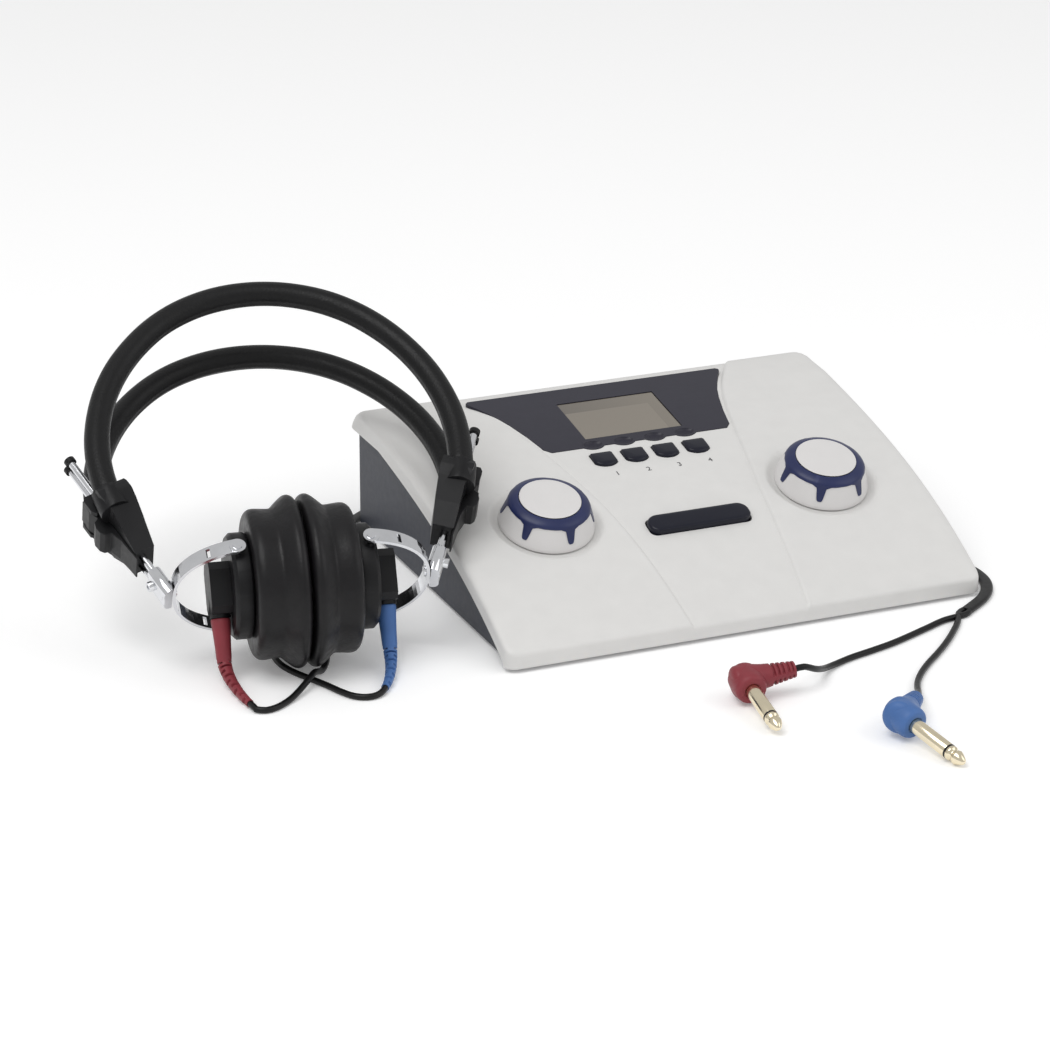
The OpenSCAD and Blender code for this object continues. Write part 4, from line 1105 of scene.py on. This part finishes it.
for tone, s, end, way, paint in (
    ("red", -1, red_end, red_dir, red_paint), ("blue", 1, blue_end, blue_dir, blue_paint),
):
    name = "left" if s < 0 else "right"
    down = side(s) @ Matrix.Translation((SOCKET_X, 0, 0))
    z_axis = (down.to_3x3() @ CUP_DOWN).normalized()
    start = down @ Vector((0, 0, 0)) + z_axis * 3
    place = Matrix.Translation(start) @ z_axis.to_track_quat("Z", "Y").to_matrix().to_4x4()
    profile = [(0, 0), (2.5, 0), (2.5, 10.1), (3.7, 10.1), (4.05, 10.3), (4.2, 10.8), (4.2, 12),
               (3.95, 14.5), (3.7, 18), (3.45, 22), (3.3, 26), (3.25, 27.2), (3.05, 27.9),
               (2.6, 28.1), (0, 28.1)]
    add(f"sleeve_{tone}_skin", *lathe(profile, place, 48), f"cup_{name}", paint,
        f"{tone}_plastic", [f"sleeve_{tone}"], sharp=50)
    top = down @ Vector((0, 0, 0)) + z_axis * 31.1
    curve = bezier(top - 0.2 * z_axis, top + 6 * z_axis, end - 12 * way, end, 110)
    add(f"boot_{tone}_skin", *sweep(curve, boot_ring), "unit", paint, f"{tone}_plastic",
        [f"boot_{tone}"], sharp=30)

# %% [markdown]
# Holders, levers, rods and cases are hard pieces whose CAD shape is already right. They only
# need a finish and softer edges, so that light catches them as it does on moulded plastic.

# %% The rigid pieces that keep their CAD shape
ROD_FRAME = Matrix.Translation((58.2, 1.7, 0)) @ Matrix.Rotation(math.radians(-23), 4, "Z")
ROD_CAP_FROM = 77.3
for node, paint, width in (
    ("base_housing", slate_paint, 0.5), ("display_module", board_paint, 0.1),
    ("main_board", board_paint, 0.0), ("key_switches", black_paint, 0.0),
    ("encoder_bodies", steel_paint, 0.2), ("feet", rubber_paint, 0.3),
    ("screws", steel_paint, 0.1), ("phone_jacks", black_paint, 0.25),
    ("power_inlet", black_paint, 0.25), ("lever_pins", chrome_paint, 0.2),
):
    dress(node, paint, width)
for s in ("left", "right"):
    dress(f"holder_{s}", black_paint, 0.8)
    dress(f"lever_{s}", black_paint, 0.8)
    rods = dress(f"slider_{s}", chrome_paint)
    rods.data.materials.append(black_paint)
    up = (side(-1 if s == "left" else 1) @ ROD_FRAME).inverted()
    for face in rods.data.polygons:
        if (up @ (rods.matrix_world @ face.center / MM)).y > ROD_CAP_FROM:
            face.material_index = 1
    dress(f"clevis_{s}", chrome_paint, 0.35)
    dress(f"stirrup_{s}", chrome_paint, 0.15)
    dress(f"case_{s}", black_paint, 0.3)
    dress(f"socket_{s}", black_paint, 0.5)

# %% A plain white floor
floor_mesh = bpy.data.meshes.new("floor")
floor_mesh.from_pydata([(-8, -8, 0), (8, -8, 0), (8, 8, 0), (-8, 8, 0)], [], [(0, 1, 2, 3)])
floor = bpy.data.objects.new("floor", floor_mesh)
bpy.context.scene.collection.objects.link(floor)
floor_paint = bpy.data.materials.new("floor")
floor_paint.use_nodes = True
floor_shader = floor_paint.node_tree.nodes["Principled BSDF"]
floor_shader.inputs["Base Color"].default_value = (0.95, 0.95, 0.95, 1)
floor_shader.inputs["Roughness"].default_value = 0.9
floor_shader.inputs["Specular IOR Level"].default_value = 0.1
floor_shader.inputs["Emission Color"].default_value = (1, 1, 1, 1)
# A little white of its own, only for the camera and for rays off metal and glass.
FLOOR_GLOW = 0.15
rays = floor_paint.node_tree.nodes.new("ShaderNodeLightPath")
seen = rays.outputs["Is Camera Ray"]
for name in ("Is Glossy Ray", "Is Transmission Ray"):
    both = floor_paint.node_tree.nodes.new("ShaderNodeMath")
    both.operation = "MAXIMUM"
    floor_paint.node_tree.links.new(seen, both.inputs[0])
    floor_paint.node_tree.links.new(rays.outputs[name], both.inputs[1])
    seen = both.outputs["Value"]
glow = floor_paint.node_tree.nodes.new("ShaderNodeMath")
glow.operation = "MULTIPLY"
glow.inputs[1].default_value = FLOOR_GLOW
floor_paint.node_tree.links.new(seen, glow.inputs[0])
floor_paint.node_tree.links.new(glow.outputs["Value"], floor_shader.inputs["Emission Strength"])
floor_mesh.materials.append(floor_paint)

# %% [markdown]
# The photograph is lit from large soft sources on white. A bright world and two wide lamps give
# that without hard shadows.

# %% Soft studio light: a bright world and two large lamps
world = bpy.data.worlds.new("world")
bpy.context.scene.world = world
world.use_nodes = True
world.node_tree.nodes["Background"].inputs["Color"].default_value = (1, 1, 1, 1)
world.node_tree.nodes["Background"].inputs["Strength"].default_value = 0.6


def lamp(name, at, size, power):
    """A large square lamp that looks at the object."""
    light = bpy.data.lights.new(name, "AREA")
    light.size = size
    light.energy = power
    piece = bpy.data.objects.new(name, light)
    piece.location = at
    piece.rotation_mode = "QUATERNION"
    piece.rotation_quaternion = (Vector((0, 0, 0)) - Vector(at)).to_track_quat("-Z", "Y")
    bpy.context.scene.collection.objects.link(piece)


lamp("key", (-0.9, -0.5, 1.8), 1.2, 16)
lamp("fill", (1.5, -1.2, 1.4), 1.6, 8)
bpy.context.scene.view_settings.view_transform = "Standard"
